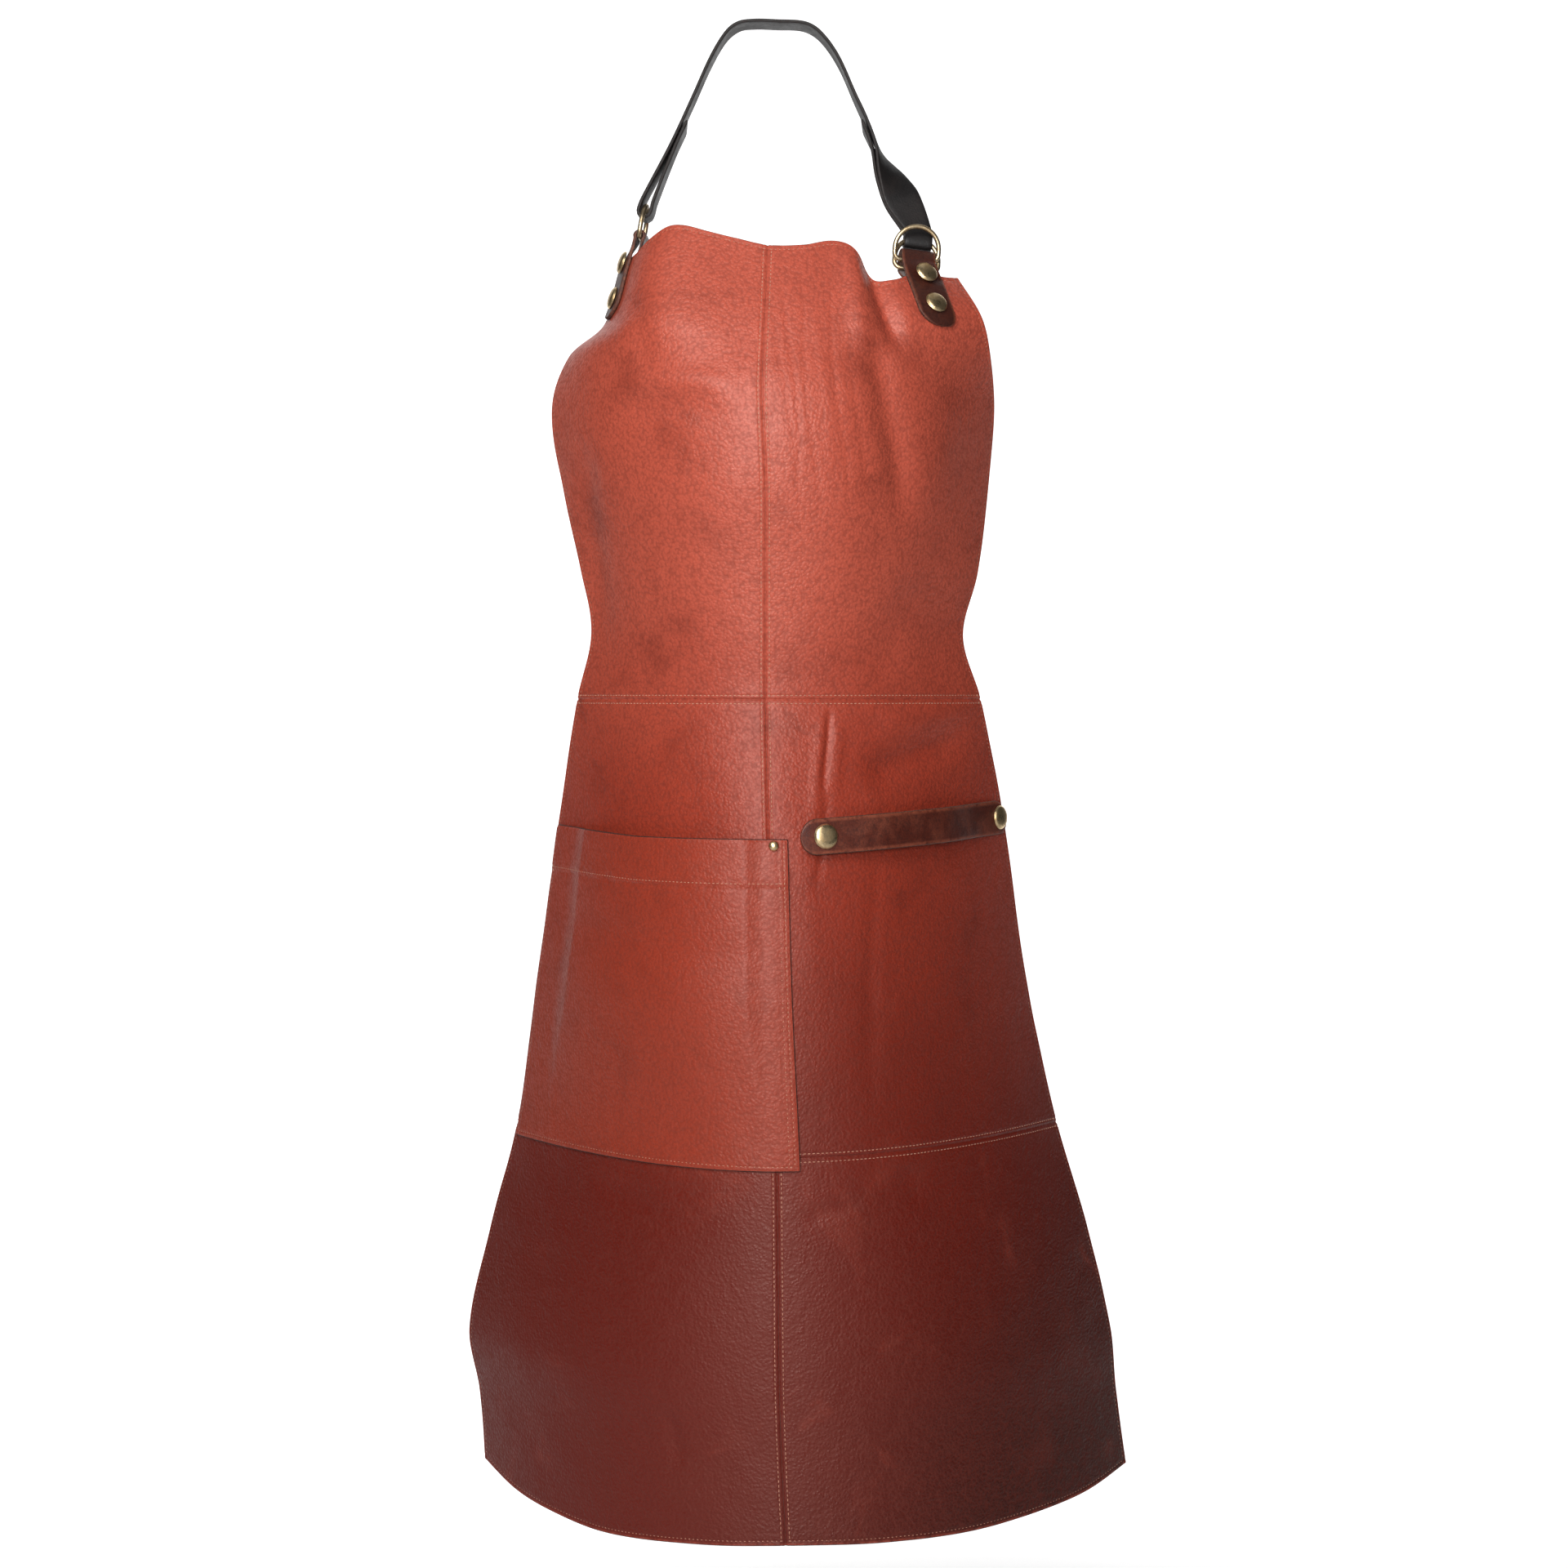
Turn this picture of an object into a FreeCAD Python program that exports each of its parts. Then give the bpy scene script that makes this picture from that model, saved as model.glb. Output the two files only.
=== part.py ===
"""A leather welding apron as it hangs when worn: six formed hide panels, a pocket, a towel strap with a
snap, riveted ring tabs, a neck strap cinched through two D-rings, and a buckled waist strap behind.

Millimetres.  +Z is up, the apron's front faces -Y, and -X is the side of the single ring.  The origin is
under the top of the neck strap, where the strap rests on the neck.
"""
import FreeCAD, Part
import Sketcher
import math
import os
from FreeCAD import Placement, Rotation, Vector

doc = FreeCAD.newDocument("welding_apron")
sizes = doc.addObject("Spreadsheet::Sheet", "sizes")

# Driving dimensions: name, value, meaning.
DIMENSIONS = [
    ("hide", 2.0, "thickness of the apron's panels"),
    ("strap_leather", 2.4, "thickness of straps and tabs"),
    ("lining_gap", 0.25, "gap between two layers that are sewn or riveted flat"),
    ("waist_seam", -463.0, "height of the seam at the waist"),
    ("skirt_seam", -761.5, "height of the seam above the hem panels"),
    ("pocket_top", -555.0, "height of the pocket's mouth"),
    ("pocket_bottom", -769.5, "height of the pocket's lower seam"),
    ("pocket_inner_edge", 9.0, "X of the pocket's upright seam"),
    ("pocket_room", 8.5, "room in the pocket's middle"),
    ("neck_strap_width", 25.0, "width of the neck strap"),
    ("tab_width", 24.0, "width of both ring tabs"),
    ("towel_strap_width", 22.5, "width of the towel strap"),
    ("towel_room", 7.5, "room behind the towel strap"),
    ("waist_strap_width", 25.0, "width of the waist strap"),
    ("wire", 3.2, "wire diameter of the D-rings"),
    ("ring_width", 30.2, "D-ring width between wire centres"),
    ("ring_rise", 22.6, "D-ring height between wire centres"),
    ("ring_corner", 4.5, "D-ring corner radius at the wire centre"),
    ("tab_cap", 7.8, "radius of the tab rivets' caps"),
    ("snap_cap_size", 8.3, "radius of the snap's and the strap end's caps"),
    ("pocket_cap", 3.5, "radius of the pocket rivet's cap"),
    ("post", 1.75, "radius of the large rivets' posts"),
    ("small_post", 1.1, "radius of the pocket rivet's post"),
    ("running", 0.35, "clearance of parts that turn on each other"),
    ("slide_height", 36.0, "outer height of the waist slide"),
    ("slide_pitch", 15.8, "distance between the waist slide's bars"),
    ("slide_bar", 3.0, "width of the waist slide's bars"),
    ("slide_plate", 2.4, "thickness of the waist slide"),
    ("keeper_length", 12.0, "length of the waist strap's keeper"),
    ("keeper_leather", 1.6, "thickness of the keeper"),
    ("keeper_play", 0.5, "play of the keeper around the two layers of strap"),
]

# The worn form, top to hem.  Each station gives the height, the X of both side edges and of the centre
# seam, the Y of the centre and of both side edges, and how squarely each half turns back to its side.
STATIONS = [
    # height   left    right  seam   front  left_y right_y  left_turn right_turn
    (-140.0, -92.0, 118.0, -3.5, -56.0, -6.0, -8.0, 8.0, 2.0),
    (-167.0, -103.0, 121.0, -3.8, -69.0, -4.0, -20.0, 8.0, 2.0),
    (-204.0, -116.0, 140.0, -5.0, -88.0, 0.0, -40.0, 6.0, 2.0),
    (-227.0, -141.0, 147.0, -6.0, -98.0, 4.0, -28.0, 3.5, 2.1),
    (-263.0, -153.0, 152.4, -7.0, -110.0, 7.0, 4.0, 2.3, 2.3),
    (-319.0, -144.7, 148.0, -5.0, -108.0, 5.0, 5.0, 2.2, 2.2),
    (-375.0, -133.3, 141.2, -5.0, -96.0, 2.0, 2.0, 2.2, 2.2),
    (-420.0, -126.6, 131.0, -5.0, -88.0, 0.0, 0.0, 2.1, 2.1),
    (-463.0, -136.0, 143.5, -5.0, -84.0, 10.0, 10.0, 2.0, 2.0),
    (-545.0, -150.0, 161.0, -3.3, -97.0, 33.0, 33.0, 1.9, 1.9),
    (-661.0, -167.0, 178.4, -1.0, -104.0, 46.0, 46.0, 1.9, 1.9),
    (-761.0, -181.0, 200.0, 2.5, -106.0, 50.0, 50.0, 1.9, 1.9),
    (-835.0, -200.0, 221.5, 3.5, -107.0, 50.0, 50.0, 1.9, 1.9),
    (-907.0, -215.0, 238.0, 4.2, -108.0, 50.0, 50.0, 1.9, 1.9),
    (-950.0, -207.5, 241.7, 5.5, -108.0, 48.0, 48.0, 1.9, 1.9),
    (-1012.0, -202.5, 250.0, 8.4, -109.0, 46.0, 46.0, 1.9, 1.9),
]
STATION_FIELDS = ["height", "left", "right", "seam", "front", "left_side", "right_side",
                  "left_turn", "right_turn"]

# The bib's top edge, from its left corner (-1) over the centre seam (0) to its right corner (1).
TOP_EDGE = [(-1.0, -164.0), (-0.91, -162.0), (-0.85, -155.0), (-0.74, -147.0), (-0.62, -146.5), (-0.45, -150.5),
            (-0.22, -156.0), (0.0, -161.0), (0.2, -160.5), (0.34, -157.0), (0.43, -159.0), (0.5, -167.0),
            (0.56, -179.5), (0.64, -182.5), (0.75, -177.5), (0.85, -176.5), (0.93, -177.5), (1.0, -177.0)]
HEM_EDGE = [(-1.0, -998.0), (-0.89, -1010.5), (-0.77, -1016.0), (-0.59, -1019.5), (-0.3, -1015.5), (0.0, -1012.0),
            (0.3, -1014.0), (0.51, -1015.5), (0.71, -1013.5), (0.86, -1010.0), (1.0, -1001.0)]


def fill_sheet():
    """Write the driving dimensions and the stations into the sheet, each cell with an alias."""
    for row, (name, value, meaning) in enumerate(DIMENSIONS, start=1):
        sizes.set(f"A{row}", meaning)
        sizes.set(f"B{row}", str(value))
        sizes.setAlias(f"B{row}", name)
    first = len(DIMENSIONS) + 2
    for index, station in enumerate(STATIONS):
        sizes.set(f"A{first + index}", f"worn form, station {index}")
        for column, (field, value) in enumerate(zip(STATION_FIELDS, station)):
            cell = f"{chr(ord('B') + column)}{first + index}"
            sizes.set(cell, str(value))
            sizes.setAlias(cell, f"form_{field}_{index}")
    doc.recompute()


fill_sheet()


def size(name):
    """A driving dimension, read from the sheet."""
    return float(sizes.get(name))


stations = [[size(f"form_{field}_{index}") for field in STATION_FIELDS] for index in range(len(STATIONS))]
hide = size("hide")
strap_leather = size("strap_leather")
lining_gap = size("lining_gap")


# --- the worn form ----------------------------------------------------------------------------------

def smooth_row(table, place):
    """The smooth values of a table at a place.  Rows start with their place, in rising or falling order."""
    if table[0][0] > table[-1][0]:
        table = table[::-1]
    place = min(max(place, table[0][0]), table[-1][0])
    low = max(i for i in range(len(table) - 1) if table[i][0] <= place)
    span = table[low + 1][0] - table[low][0]
    share = (place - table[low][0]) / span

    def slope(i, k):
        before, after = max(i - 1, 0), min(i + 1, len(table) - 1)
        return (table[after][k] - table[before][k]) / (table[after][0] - table[before][0])

    values = []
    for k in range(1, len(table[0])):
        start, end = table[low][k], table[low + 1][k]
        values.append((2 * share**3 - 3 * share**2 + 1) * start + (3 * share**2 - 2 * share**3) * end
                      + (share**3 - 2 * share**2 + share) * span * slope(low, k)
                      + (share**3 - share**2) * span * slope(low + 1, k))
    return values


def worn_point(across, height):
    """A point on the apron's outer face; across runs from -1 at the left edge to 1 at the right."""
    left, right, seam, front, left_y, right_y, left_turn, right_turn = smooth_row(stations, height)
    reach = right - seam if across > 0 else seam - left
    side_y = right_y if across > 0 else left_y
    turn = right_turn if across > 0 else left_turn
    return Vector(seam + reach * across, front + (side_y - front) * abs(across) ** turn, height)


def across_at(x, height):
    """Where on the form an X lies: the inverse of worn_point."""
    left, right, seam = smooth_row(stations, height)[:3]
    return (x - seam) / (right - seam if x > seam else seam - left)


def form_at(x, height):
    return worn_point(across_at(x, height), height)


def outward(across, height):
    """The form's unit normal, pointing away from the body."""
    step = 0.004
    along_x = worn_point(across + step, height) - worn_point(across - step, height)
    along_z = worn_point(across, height + 1.0) - worn_point(across, height - 1.0)
    normal = along_x.cross(along_z)
    return normal.normalize()


def offset_point(across, height, distance):
    return worn_point(across, height) + outward(across, height) * distance


def top_height(across):
    return smooth_row(TOP_EDGE, across)[0]


def hem_height(across):
    return smooth_row(HEM_EDGE, across)[0]


# --- making sheets of leather -----------------------------------------------------------------------

def patch_normal(rows, i, j):
    """The unit normal of a grid of points at one of them."""
    last_i, last_j = len(rows) - 1, len(rows[0]) - 1
    along = rows[min(i + 1, last_i)][j] - rows[max(i - 1, 0)][j]
    over = rows[i][min(j + 1, last_j)] - rows[i][max(j - 1, 0)]
    return over.cross(along).normalize()


def solid_between(face_rows, back_rows):
    """A closed solid between two smooth faces that are given as grids of points."""
    face = Part.BSplineSurface()
    face.interpolate(face_rows)
    back = Part.BSplineSurface()
    back.interpolate(back_rows)
    sides = []
    for get in ("uIso", "vIso"):
        bounds = face.bounds()[:2] if get == "uIso" else face.bounds()[2:]
        back_bounds = back.bounds()[:2] if get == "uIso" else back.bounds()[2:]
        for limit, back_limit in zip(bounds, back_bounds):
            edge = getattr(face, get)(limit)
            back_edge = getattr(back, get)(back_limit)
            sides.append(edge.makeRuledSurface(back_edge).toShape())
    shell = Part.makeShell([face.toShape(), back.toShape()] + sides)
    shell.sewShape()
    solid = Part.makeSolid(Part.Shell(shell.Faces))
    if solid.Volume < 0:
        solid.reverse()
    return solid


def thick_sheet(rows, thickness):
    """A sheet whose outer face passes through a grid of points; it is thick towards the body."""
    back = [[point - patch_normal(rows, i, j) * thickness for j, point in enumerate(row)]
            for i, row in enumerate(rows)]
    return solid_between(rows, back)


def steps(start, end, count):
    return [start + (end - start) * index / (count - 1) for index in range(count)]


def feature(name, shape, placement=None):
    """A sub-part of free form."""
    part = doc.addObject("Part::Feature", name)
    part.Label = name
    part.Shape = shape
    if placement is not None:
        part.Placement = placement
    nodes.append(part)
    return part


def pin_shape(centre, axis, radius, reach):
    """A straight tool or post, the same length to both sides of its centre."""
    return Part.makeCylinder(radius, 2 * reach, centre - axis * reach, axis)


def punched(shape, holes):
    """A shape with round holes, each given as centre, axis and radius."""
    for centre, axis, radius in holes:
        shape = shape.cut(pin_shape(centre, axis, radius, 14.0))
    return shape


nodes = []


# --- where the hardware sits --------------------------------------------------------------------------

def rivet_seat(across, height):
    """The centre on the panel's outer face and the outward axis of a fastener."""
    return worn_point(across, height), outward(across, height)


RIGHT_TAB_UPPER = Vector(100.6, 0, -179.5)
RIGHT_TAB_LOWER = Vector(107.6, 0, -200.0)
LEFT_TAB_ACROSS = -0.962
LEFT_TAB_HEIGHTS = (-167.0, -191.0)
POCKET_RIVET = (0.4, -558.8)
SNAP = (32.3, -553.0)
STRAP_END_RIVET = (0.965, -545.4)

right_tab_seats = [rivet_seat(across_at(spot.x, spot.z), spot.z) for spot in (RIGHT_TAB_UPPER, RIGHT_TAB_LOWER)]
left_tab_seats = [rivet_seat(LEFT_TAB_ACROSS, height) for height in LEFT_TAB_HEIGHTS]
snap_seat = rivet_seat(across_at(*SNAP), SNAP[1])
strap_end_seat = rivet_seat(*STRAP_END_RIVET)
pocket_rivet_seat = rivet_seat(across_at(*POCKET_RIVET), POCKET_RIVET[1])

hole_play = 0.05


def tab_axis(seats):
    """The common axis of a tab's two rivets."""
    return (seats[0][1] + seats[1][1]).normalize()


right_tab_axis = tab_axis(right_tab_seats)
left_tab_axis = tab_axis(left_tab_seats)
post_hole = size("post") + hole_play
right_tab_holes = [(centre, right_tab_axis, post_hole) for centre, axis in right_tab_seats]
left_tab_holes = [(centre, left_tab_axis, post_hole) for centre, axis in left_tab_seats]
snap_hole = (snap_seat[0], snap_seat[1], post_hole)
strap_end_hole = (strap_end_seat[0], strap_end_seat[1], post_hole)
pocket_rivet_hole = (pocket_rivet_seat[0], pocket_rivet_seat[1], size("small_post") + hole_play)


# --- the six panels -----------------------------------------------------------------------------------

def crowded(side, count):
    """Places from near the centre seam to a side edge, closer together where the form turns."""
    places = [side * (0.0008 + 0.9992 * math.sin(math.pi / 2 * share)) for share in steps(0.0, 1.0, count)]
    return sorted(places)


def panel(name, side, low, high, rows, columns, holes=()):
    """A hide panel between two heights, each a function of the place across."""
    faces, backs = [], []
    for share in steps(0.0, 1.0, rows):
        places = [(across, low(across) + share * (high(across) - low(across)))
                  for across in crowded(side, columns)]
        faces.append([worn_point(*place) for place in places])
        backs.append([offset_point(*place, -hide) for place in places])
    feature(name, punched(solid_between(faces, backs), holes))


def level(name, play=0.0):
    height = size(name) + play
    return lambda across: height


BELOW, ABOVE = -0.06, 0.06
panel("bib_panel_left", -1, level("waist_seam", ABOVE), top_height, 36, 29, left_tab_holes)
panel("bib_panel_right", 1, level("waist_seam", ABOVE), top_height, 36, 41, right_tab_holes)
panel("waist_panel_left", -1, level("skirt_seam", ABOVE), level("waist_seam", BELOW), 19, 19,
      [pocket_rivet_hole])
panel("waist_panel_right", 1, level("skirt_seam", ABOVE), level("waist_seam", BELOW), 19, 19,
      [pocket_rivet_hole, snap_hole, strap_end_hole])
panel("skirt_panel_left", -1, hem_height, level("skirt_seam", BELOW), 17, 17)
panel("skirt_panel_right", 1, hem_height, level("skirt_seam", BELOW), 17, 17)


# --- the pocket ---------------------------------------------------------------------------------------

def ease(share):
    """A smooth step from 0 to 1."""
    share = min(max(share, 0.0), 1.0)
    return share * share * (3 - 2 * share)


def pocket_gap(across, rise, inner, outer):
    """The room behind the pocket: none along its three seams, most in the middle and at the mouth."""
    seam_side = min(abs(across - inner), abs(across - outer)) - 0.09
    return lining_gap + 0.35 + size("pocket_room") * ease(seam_side / 0.17) * ease((rise - 0.03) / 0.3)


def pocket():
    inner = across_at(size("pocket_inner_edge"), size("pocket_top"))
    outer = -0.985
    faces, backs = [], []
    for rise in steps(0.0, 1.0, 19):
        face_row, back_row = [], []
        for across in steps(outer, inner, 27):
            top = size("pocket_top") + 9.0 * max(0.0, -across - 0.55)
            low = size("pocket_bottom")
            height = low + rise * (top - low)
            gap = pocket_gap(across, rise, inner, outer)
            face_row.append(offset_point(across, height, gap + hide))
            back_row.append(offset_point(across, height, gap))
        faces.append(face_row)
        backs.append(back_row)
    feature("pocket", punched(solid_between(faces, backs), [pocket_rivet_hole]))


pocket()


# --- frames and bands ----------------------------------------------------------------------------------

class Frame:
    """A centre with three directions: across a strap, up along it, and outward from the body."""

    def __init__(self, centre, wide, up):
        self.centre = centre
        self.wide = Vector(wide).normalize()
        self.up = (up - self.wide * up.dot(self.wide)).normalize()
        self.out = self.wide.cross(self.up)

    def at(self, wide=0.0, up=0.0, out=0.0):
        return self.centre + self.wide * wide + self.up * up + self.out * out

    def placement(self):
        turn = Rotation(self.wide, self.out * -1.0, self.up, "ZXY")
        return Placement(self.centre, turn)


COLUMNS = [-1.0, -0.5, 0.0, 0.5, 1.0]


def even_rows(rows, guide, count):
    """The same sheet with evenly spaced rows; the guide's rows set the spacing of both its faces."""
    places = [0.0]
    middle = len(guide[0]) // 2
    for before, after in zip(guide, guide[1:]):
        places.append(places[-1] + (after[middle] - before[middle]).Length)
    lines = []
    for column in range(len(rows[0])):
        line = Part.BSplineCurve()
        line.interpolate(Points=[row[column] for row in rows], Parameters=places)
        lines.append(line)
    return [[line.value(place) for line in lines] for place in steps(0.0, places[-1], count)]


def evenly(stations_along, spacing):
    """Stations at an even spacing along a smooth line through the given ones."""
    places = [0.0]
    for before, after in zip(stations_along, stations_along[1:]):
        places.append(places[-1] + (after[0] - before[0]).Length)
    line = Part.BSplineCurve()
    line.interpolate(Points=[centre for centre, wide, half in stations_along], Parameters=places)
    even = []
    index = 0
    for place in steps(0.0, places[-1], max(3, round(places[-1] / spacing))):
        while index < len(places) - 2 and places[index + 1] < place:
            index += 1
        share = ease((place - places[index]) / (places[index + 1] - places[index]))
        before, after = stations_along[index], stations_along[index + 1]
        even.append((line.value(place), before[1] * (1 - share) + after[1] * share,
                     before[2] * (1 - share) + after[2] * share))
    return even


def ribbon(first, second):
    """A smooth surface between two long lines of evenly spaced points, straight from one to the other."""
    count = len(first)
    lines = []
    for line in (first, second):
        poles = [line[0]]
        for before, place, after in zip(line, line[1:], line[2:]):
            poles.append(place - (before - place * 2 + after) / 6)
        lines.append(poles + [line[-1]])
    surface = Part.BSplineSurface()
    surface.buildFromPolesMultsKnots(list(zip(*lines)), [4] + [1] * (count - 4) + [4], [2, 2],
                                     list(range(count - 2)), [0, 1], False, False, 3, 1)
    return surface.toShape()


def band(stations_along, thickness):
    """A strap through stations (centre, direction across, half width); thick to both sides."""
    stations_along = evenly(stations_along, 2.0)
    lines = {corner: [] for corner in ((-1, 1), (1, 1), (1, -1), (-1, -1))}
    last = len(stations_along) - 1
    for index, (centre, wide, half) in enumerate(stations_along):
        ahead = stations_along[min(index + 1, last)][0] - stations_along[max(index - 1, 0)][0]
        wide = Vector(wide).normalize()
        normal = wide.cross(ahead).normalize()
        for (side, face), line in lines.items():
            line.append(centre + wide * (half * side) + normal * (face * thickness / 2))
    corners = list(lines.values())
    faces = [ribbon(first, second) for first, second in zip(corners, corners[1:] + corners[:1])]
    for end in (0, -1):
        faces.append(Part.Face(Part.makePolygon([line[end] for line in corners + corners[:1]])))
    shell = Part.makeShell(faces)
    shell.sewShape()
    solid = Part.makeSolid(Part.Shell(shell.Faces))
    if solid.Volume < 0:
        solid.reverse()
    return solid


# --- the ring tabs --------------------------------------------------------------------------------------

half_tab = size("tab_width") / 2


def folded_tab(name, leg_places, fold, low, high, cavity, close, holes):
    """A tab folded over the ring bars: a leg on each face of the bib, and the fold above its edge.

    leg_places(share, column) is the place on the form of a point of the legs.  The fold's frame sits in
    the middle of its cavity, which is open from low to high along the tab; cavity is half its room."""
    faces, backs = [], []

    def add_leg(share, front):
        near = close if front else -hide - close
        far = near + strap_leather * (1 if front else -1)
        places = [leg_places(share, column) for column in COLUMNS]
        faces.append([offset_point(across, height, far) for across, height in places])
        backs.append([offset_point(across, height, near) for across, height in places])

    def add_fold(up, out, back_up, back_out):
        faces.append([fold.at(half_tab * column * 0.96, up, out) for column in COLUMNS])
        backs.append([fold.at(half_tab * column * 0.96, back_up, back_out) for column in COLUMNS])

    for share in steps(0.0, 1.0, 6):
        add_leg(share, True)
    add_fold(low, cavity * 0.74 + strap_leather, low, cavity * 0.74)
    for angle in steps(math.pi / 2, -math.pi / 2, 7):
        outer_radius, inner_radius = cavity + strap_leather, cavity
        add_fold(high + outer_radius * math.cos(angle), outer_radius * math.sin(angle),
                 high + inner_radius * math.cos(angle), inner_radius * math.sin(angle))
    add_fold(low, -cavity * 0.74 - strap_leather, low, -cavity * 0.74)
    for share in steps(1.0, 0.0, 6):
        add_leg(share, False)
    solid = solid_between(even_rows(faces, faces, 61), even_rows(backs, faces, 61))
    feature(name, punched(solid, holes))


def right_leg_place(share, column):
    """Legs of the right tab: level across, leaning up and inwards."""
    x = 111.5 + share * (RIGHT_TAB_UPPER.x - 111.5) + column * half_tab * 0.98
    height = -214.0 + share * (RIGHT_TAB_UPPER.z + 214.0) - column * half_tab * 0.10
    return across_at(x, height), height


LEFT_TAB_SPREAD = 0.034


def left_leg_place(share, column):
    """Legs of the left tab: they lie along the bib's edge, where it faces sideways."""
    return LEFT_TAB_ACROSS + column * LEFT_TAB_SPREAD, -204.0 + share * 37.0


def up_the_tab(seats):
    return (seats[0][0] - seats[1][0]).normalize()


def above_rivet(seats, distance):
    """A place in the middle of the bib's leather, carried on up the tab past its upper rivet."""
    return seats[0][0] - seats[0][1] * (hide / 2) + up_the_tab(seats) * distance


right_fold = Frame(above_rivet(right_tab_seats, 12.3), Vector(0.98, 0.17, -0.10), up_the_tab(right_tab_seats))
swing_guess = Vector(0.983, -0.053, -0.174)
left_bar_direction = Vector(0, 1, 0) - swing_guess * swing_guess.y
left_fold = Frame(above_rivet(left_tab_seats, 17.8) + Vector(3.6, -2.0, 0), left_bar_direction * -1.0,
                  Vector(0.174, 0, 0.985))
DOUBLE_CAVITY = 5.6
SINGLE_CAVITY = 2.2

folded_tab("ring_tab_right", right_leg_place, right_fold, -3.4, 2.6, DOUBLE_CAVITY, 0.35,
           right_tab_holes)
folded_tab("ring_tab_left", left_leg_place, left_fold, -1.2, 0.4, SINGLE_CAVITY, 0.5, left_tab_holes)


# --- the three D-rings ----------------------------------------------------------------------------------

def primitive(kind, name, **values):
    """A primitive solid, each of its properties a number or an expression over the sheet."""
    part = doc.addObject(kind, name)
    for key, value in values.items():
        key = key.replace("_at_", ".")
        if isinstance(value, str):
            part.setExpression(key, value)
        else:
            setattr(part, key, value)
    return part


def ring(name, seat):
    """A D-ring: a straight bar, two rounded corners, two short sides and a half-round top.

    It is drawn with the middle of its bar at the origin, upright in the XZ plane, and then placed."""
    thick = "sizes.wire / 2"
    half = "sizes.ring_width / 2"
    corner = "sizes.ring_corner"
    side_top = f"sizes.ring_rise - {half}"
    pieces = [primitive("Part::Cylinder", name + "_bar", Radius=thick, Height=f"sizes.ring_width - 2 * {corner}")]
    pieces[0].Placement = Placement(Vector(), Rotation(Vector(0, 1, 0), 90))
    pieces[0].setExpression("Placement.Base.x", f"{corner} - {half}")
    for side, sign in (("left", -1), ("right", 1)):
        upright = primitive("Part::Cylinder", f"{name}_side_{side}", Radius=thick, Height=f"{side_top} - {corner}")
        upright.setExpression("Placement.Base.x", f"{sign} * {half}")
        upright.setExpression("Placement.Base.z", corner)
        bend = primitive("Part::Torus", f"{name}_corner_{side}", Radius1=corner, Radius2=thick, Angle3=90.0)
        bend.Placement = Placement(Vector(), Rotation(Vector(1, 0, 0), 90) *
                                   Rotation(Vector(0, 0, 1), 180 if sign < 0 else 270))
        bend.setExpression("Placement.Base.x", f"{sign} * ({half} - {corner})")
        bend.setExpression("Placement.Base.z", corner)
        pieces += [upright, bend]
    top = primitive("Part::Torus", name + "_top", Radius1=half, Radius2=thick, Angle3=180.0)
    top.Placement = Placement(Vector(), Rotation(Vector(1, 0, 0), 90))
    top.setExpression("Placement.Base.z", side_top)
    pieces.append(top)
    fused = doc.addObject("Part::MultiFuse", name)
    fused.Label = name
    fused.Shapes = pieces
    fused.Placement = seat.placement()
    nodes.append(fused)


left_ring_seat = Frame(left_fold.centre, left_fold.wide, Vector(0.174, 0, 0.985))
front_ring_seat = Frame(right_fold.at(-0.8, 2.2, 2.15), Vector(0.983, 0.17, -0.05), Vector(0.0, -0.10, 0.994))
rear_ring_seat = Frame(right_fold.at(0.0, -2.3, -2.1), Vector(0.985, 0.15, -0.11), Vector(0.072, 0.289, 0.955))
ring("ring_left", left_ring_seat)
ring("ring_right_front", front_ring_seat)
ring("ring_right_rear", rear_ring_seat)


# --- the neck strap -------------------------------------------------------------------------------------

NECK_PATH = [(-82.0, -22.0, -122.6), (-70.2, -14.0, -87.5), (-54.9, -8.0, -52.7), (-42.7, -3.0, -24.3),
             (-32.4, 0.0, -6.5), (-23.6, 0.0, 0.2), (-12.4, 0.0, 1.7), (1.7, 0.0, 1.3), (21.4, 0.0, 0.0),
             (32.3, 0.0, -6.5), (44.6, -3.0, -24.3), (56.6, -9.0, -52.6), (64.2, -13.0, -70.0),
             (71.7, -17.0, -87.7), (81.5, -22.0, -108.9), (88.0, -26.0, -124.0)]
LEFT_LOOP_GAP = 3.2
RIGHT_LOOP_GAP = 2.05
half_neck = size("neck_strap_width") / 2
doubled = strap_leather + 0.35
neck_doubled = strap_leather + 0.8


def across_strap(direction, turned_to, share):
    """The strap's level direction, square to its run, turned a share of the way to another direction."""
    run = direction.normalize()
    level_way = (Vector(0, 1, 0) - run * run.y).normalize()
    level_way = (level_way * (1 - share) + turned_to * share).normalize()
    return (level_way - run * level_way.dot(run)).normalize()


def loop_stations(seat, gap, high, half):
    """A strap's way under a ring's top: down the outer side, round, and up on the inner side."""
    middle = gap + strap_leather / 2
    beside = min(middle, 4.15)
    places = [(high, beside * 0.9), (high * 0.4, beside)]
    places += [(-middle * math.sin(angle), beside * math.cos(angle)) for angle in steps(0, math.pi, 7)]
    places += [(high * 0.4, -beside), (high, -beside * 0.9)]
    return [(seat.at(0.0, up, out), seat.wide, half) for up, out in places]


def neck_arch():
    path = [Vector(*place) for place in NECK_PATH]
    last = len(path) - 1
    stations_along, inward = [], []
    for index, place in enumerate(path):
        run = path[min(index + 1, last)] - path[max(index - 1, 0)]
        share = ease((index - last + 2.6) / 2.6)
        wide = across_strap(run, rear_ring_seat.wide, share)
        stations_along.append((place, wide, half_neck))
        inward.append(wide.cross(run).normalize())
    return stations_along, inward


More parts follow.
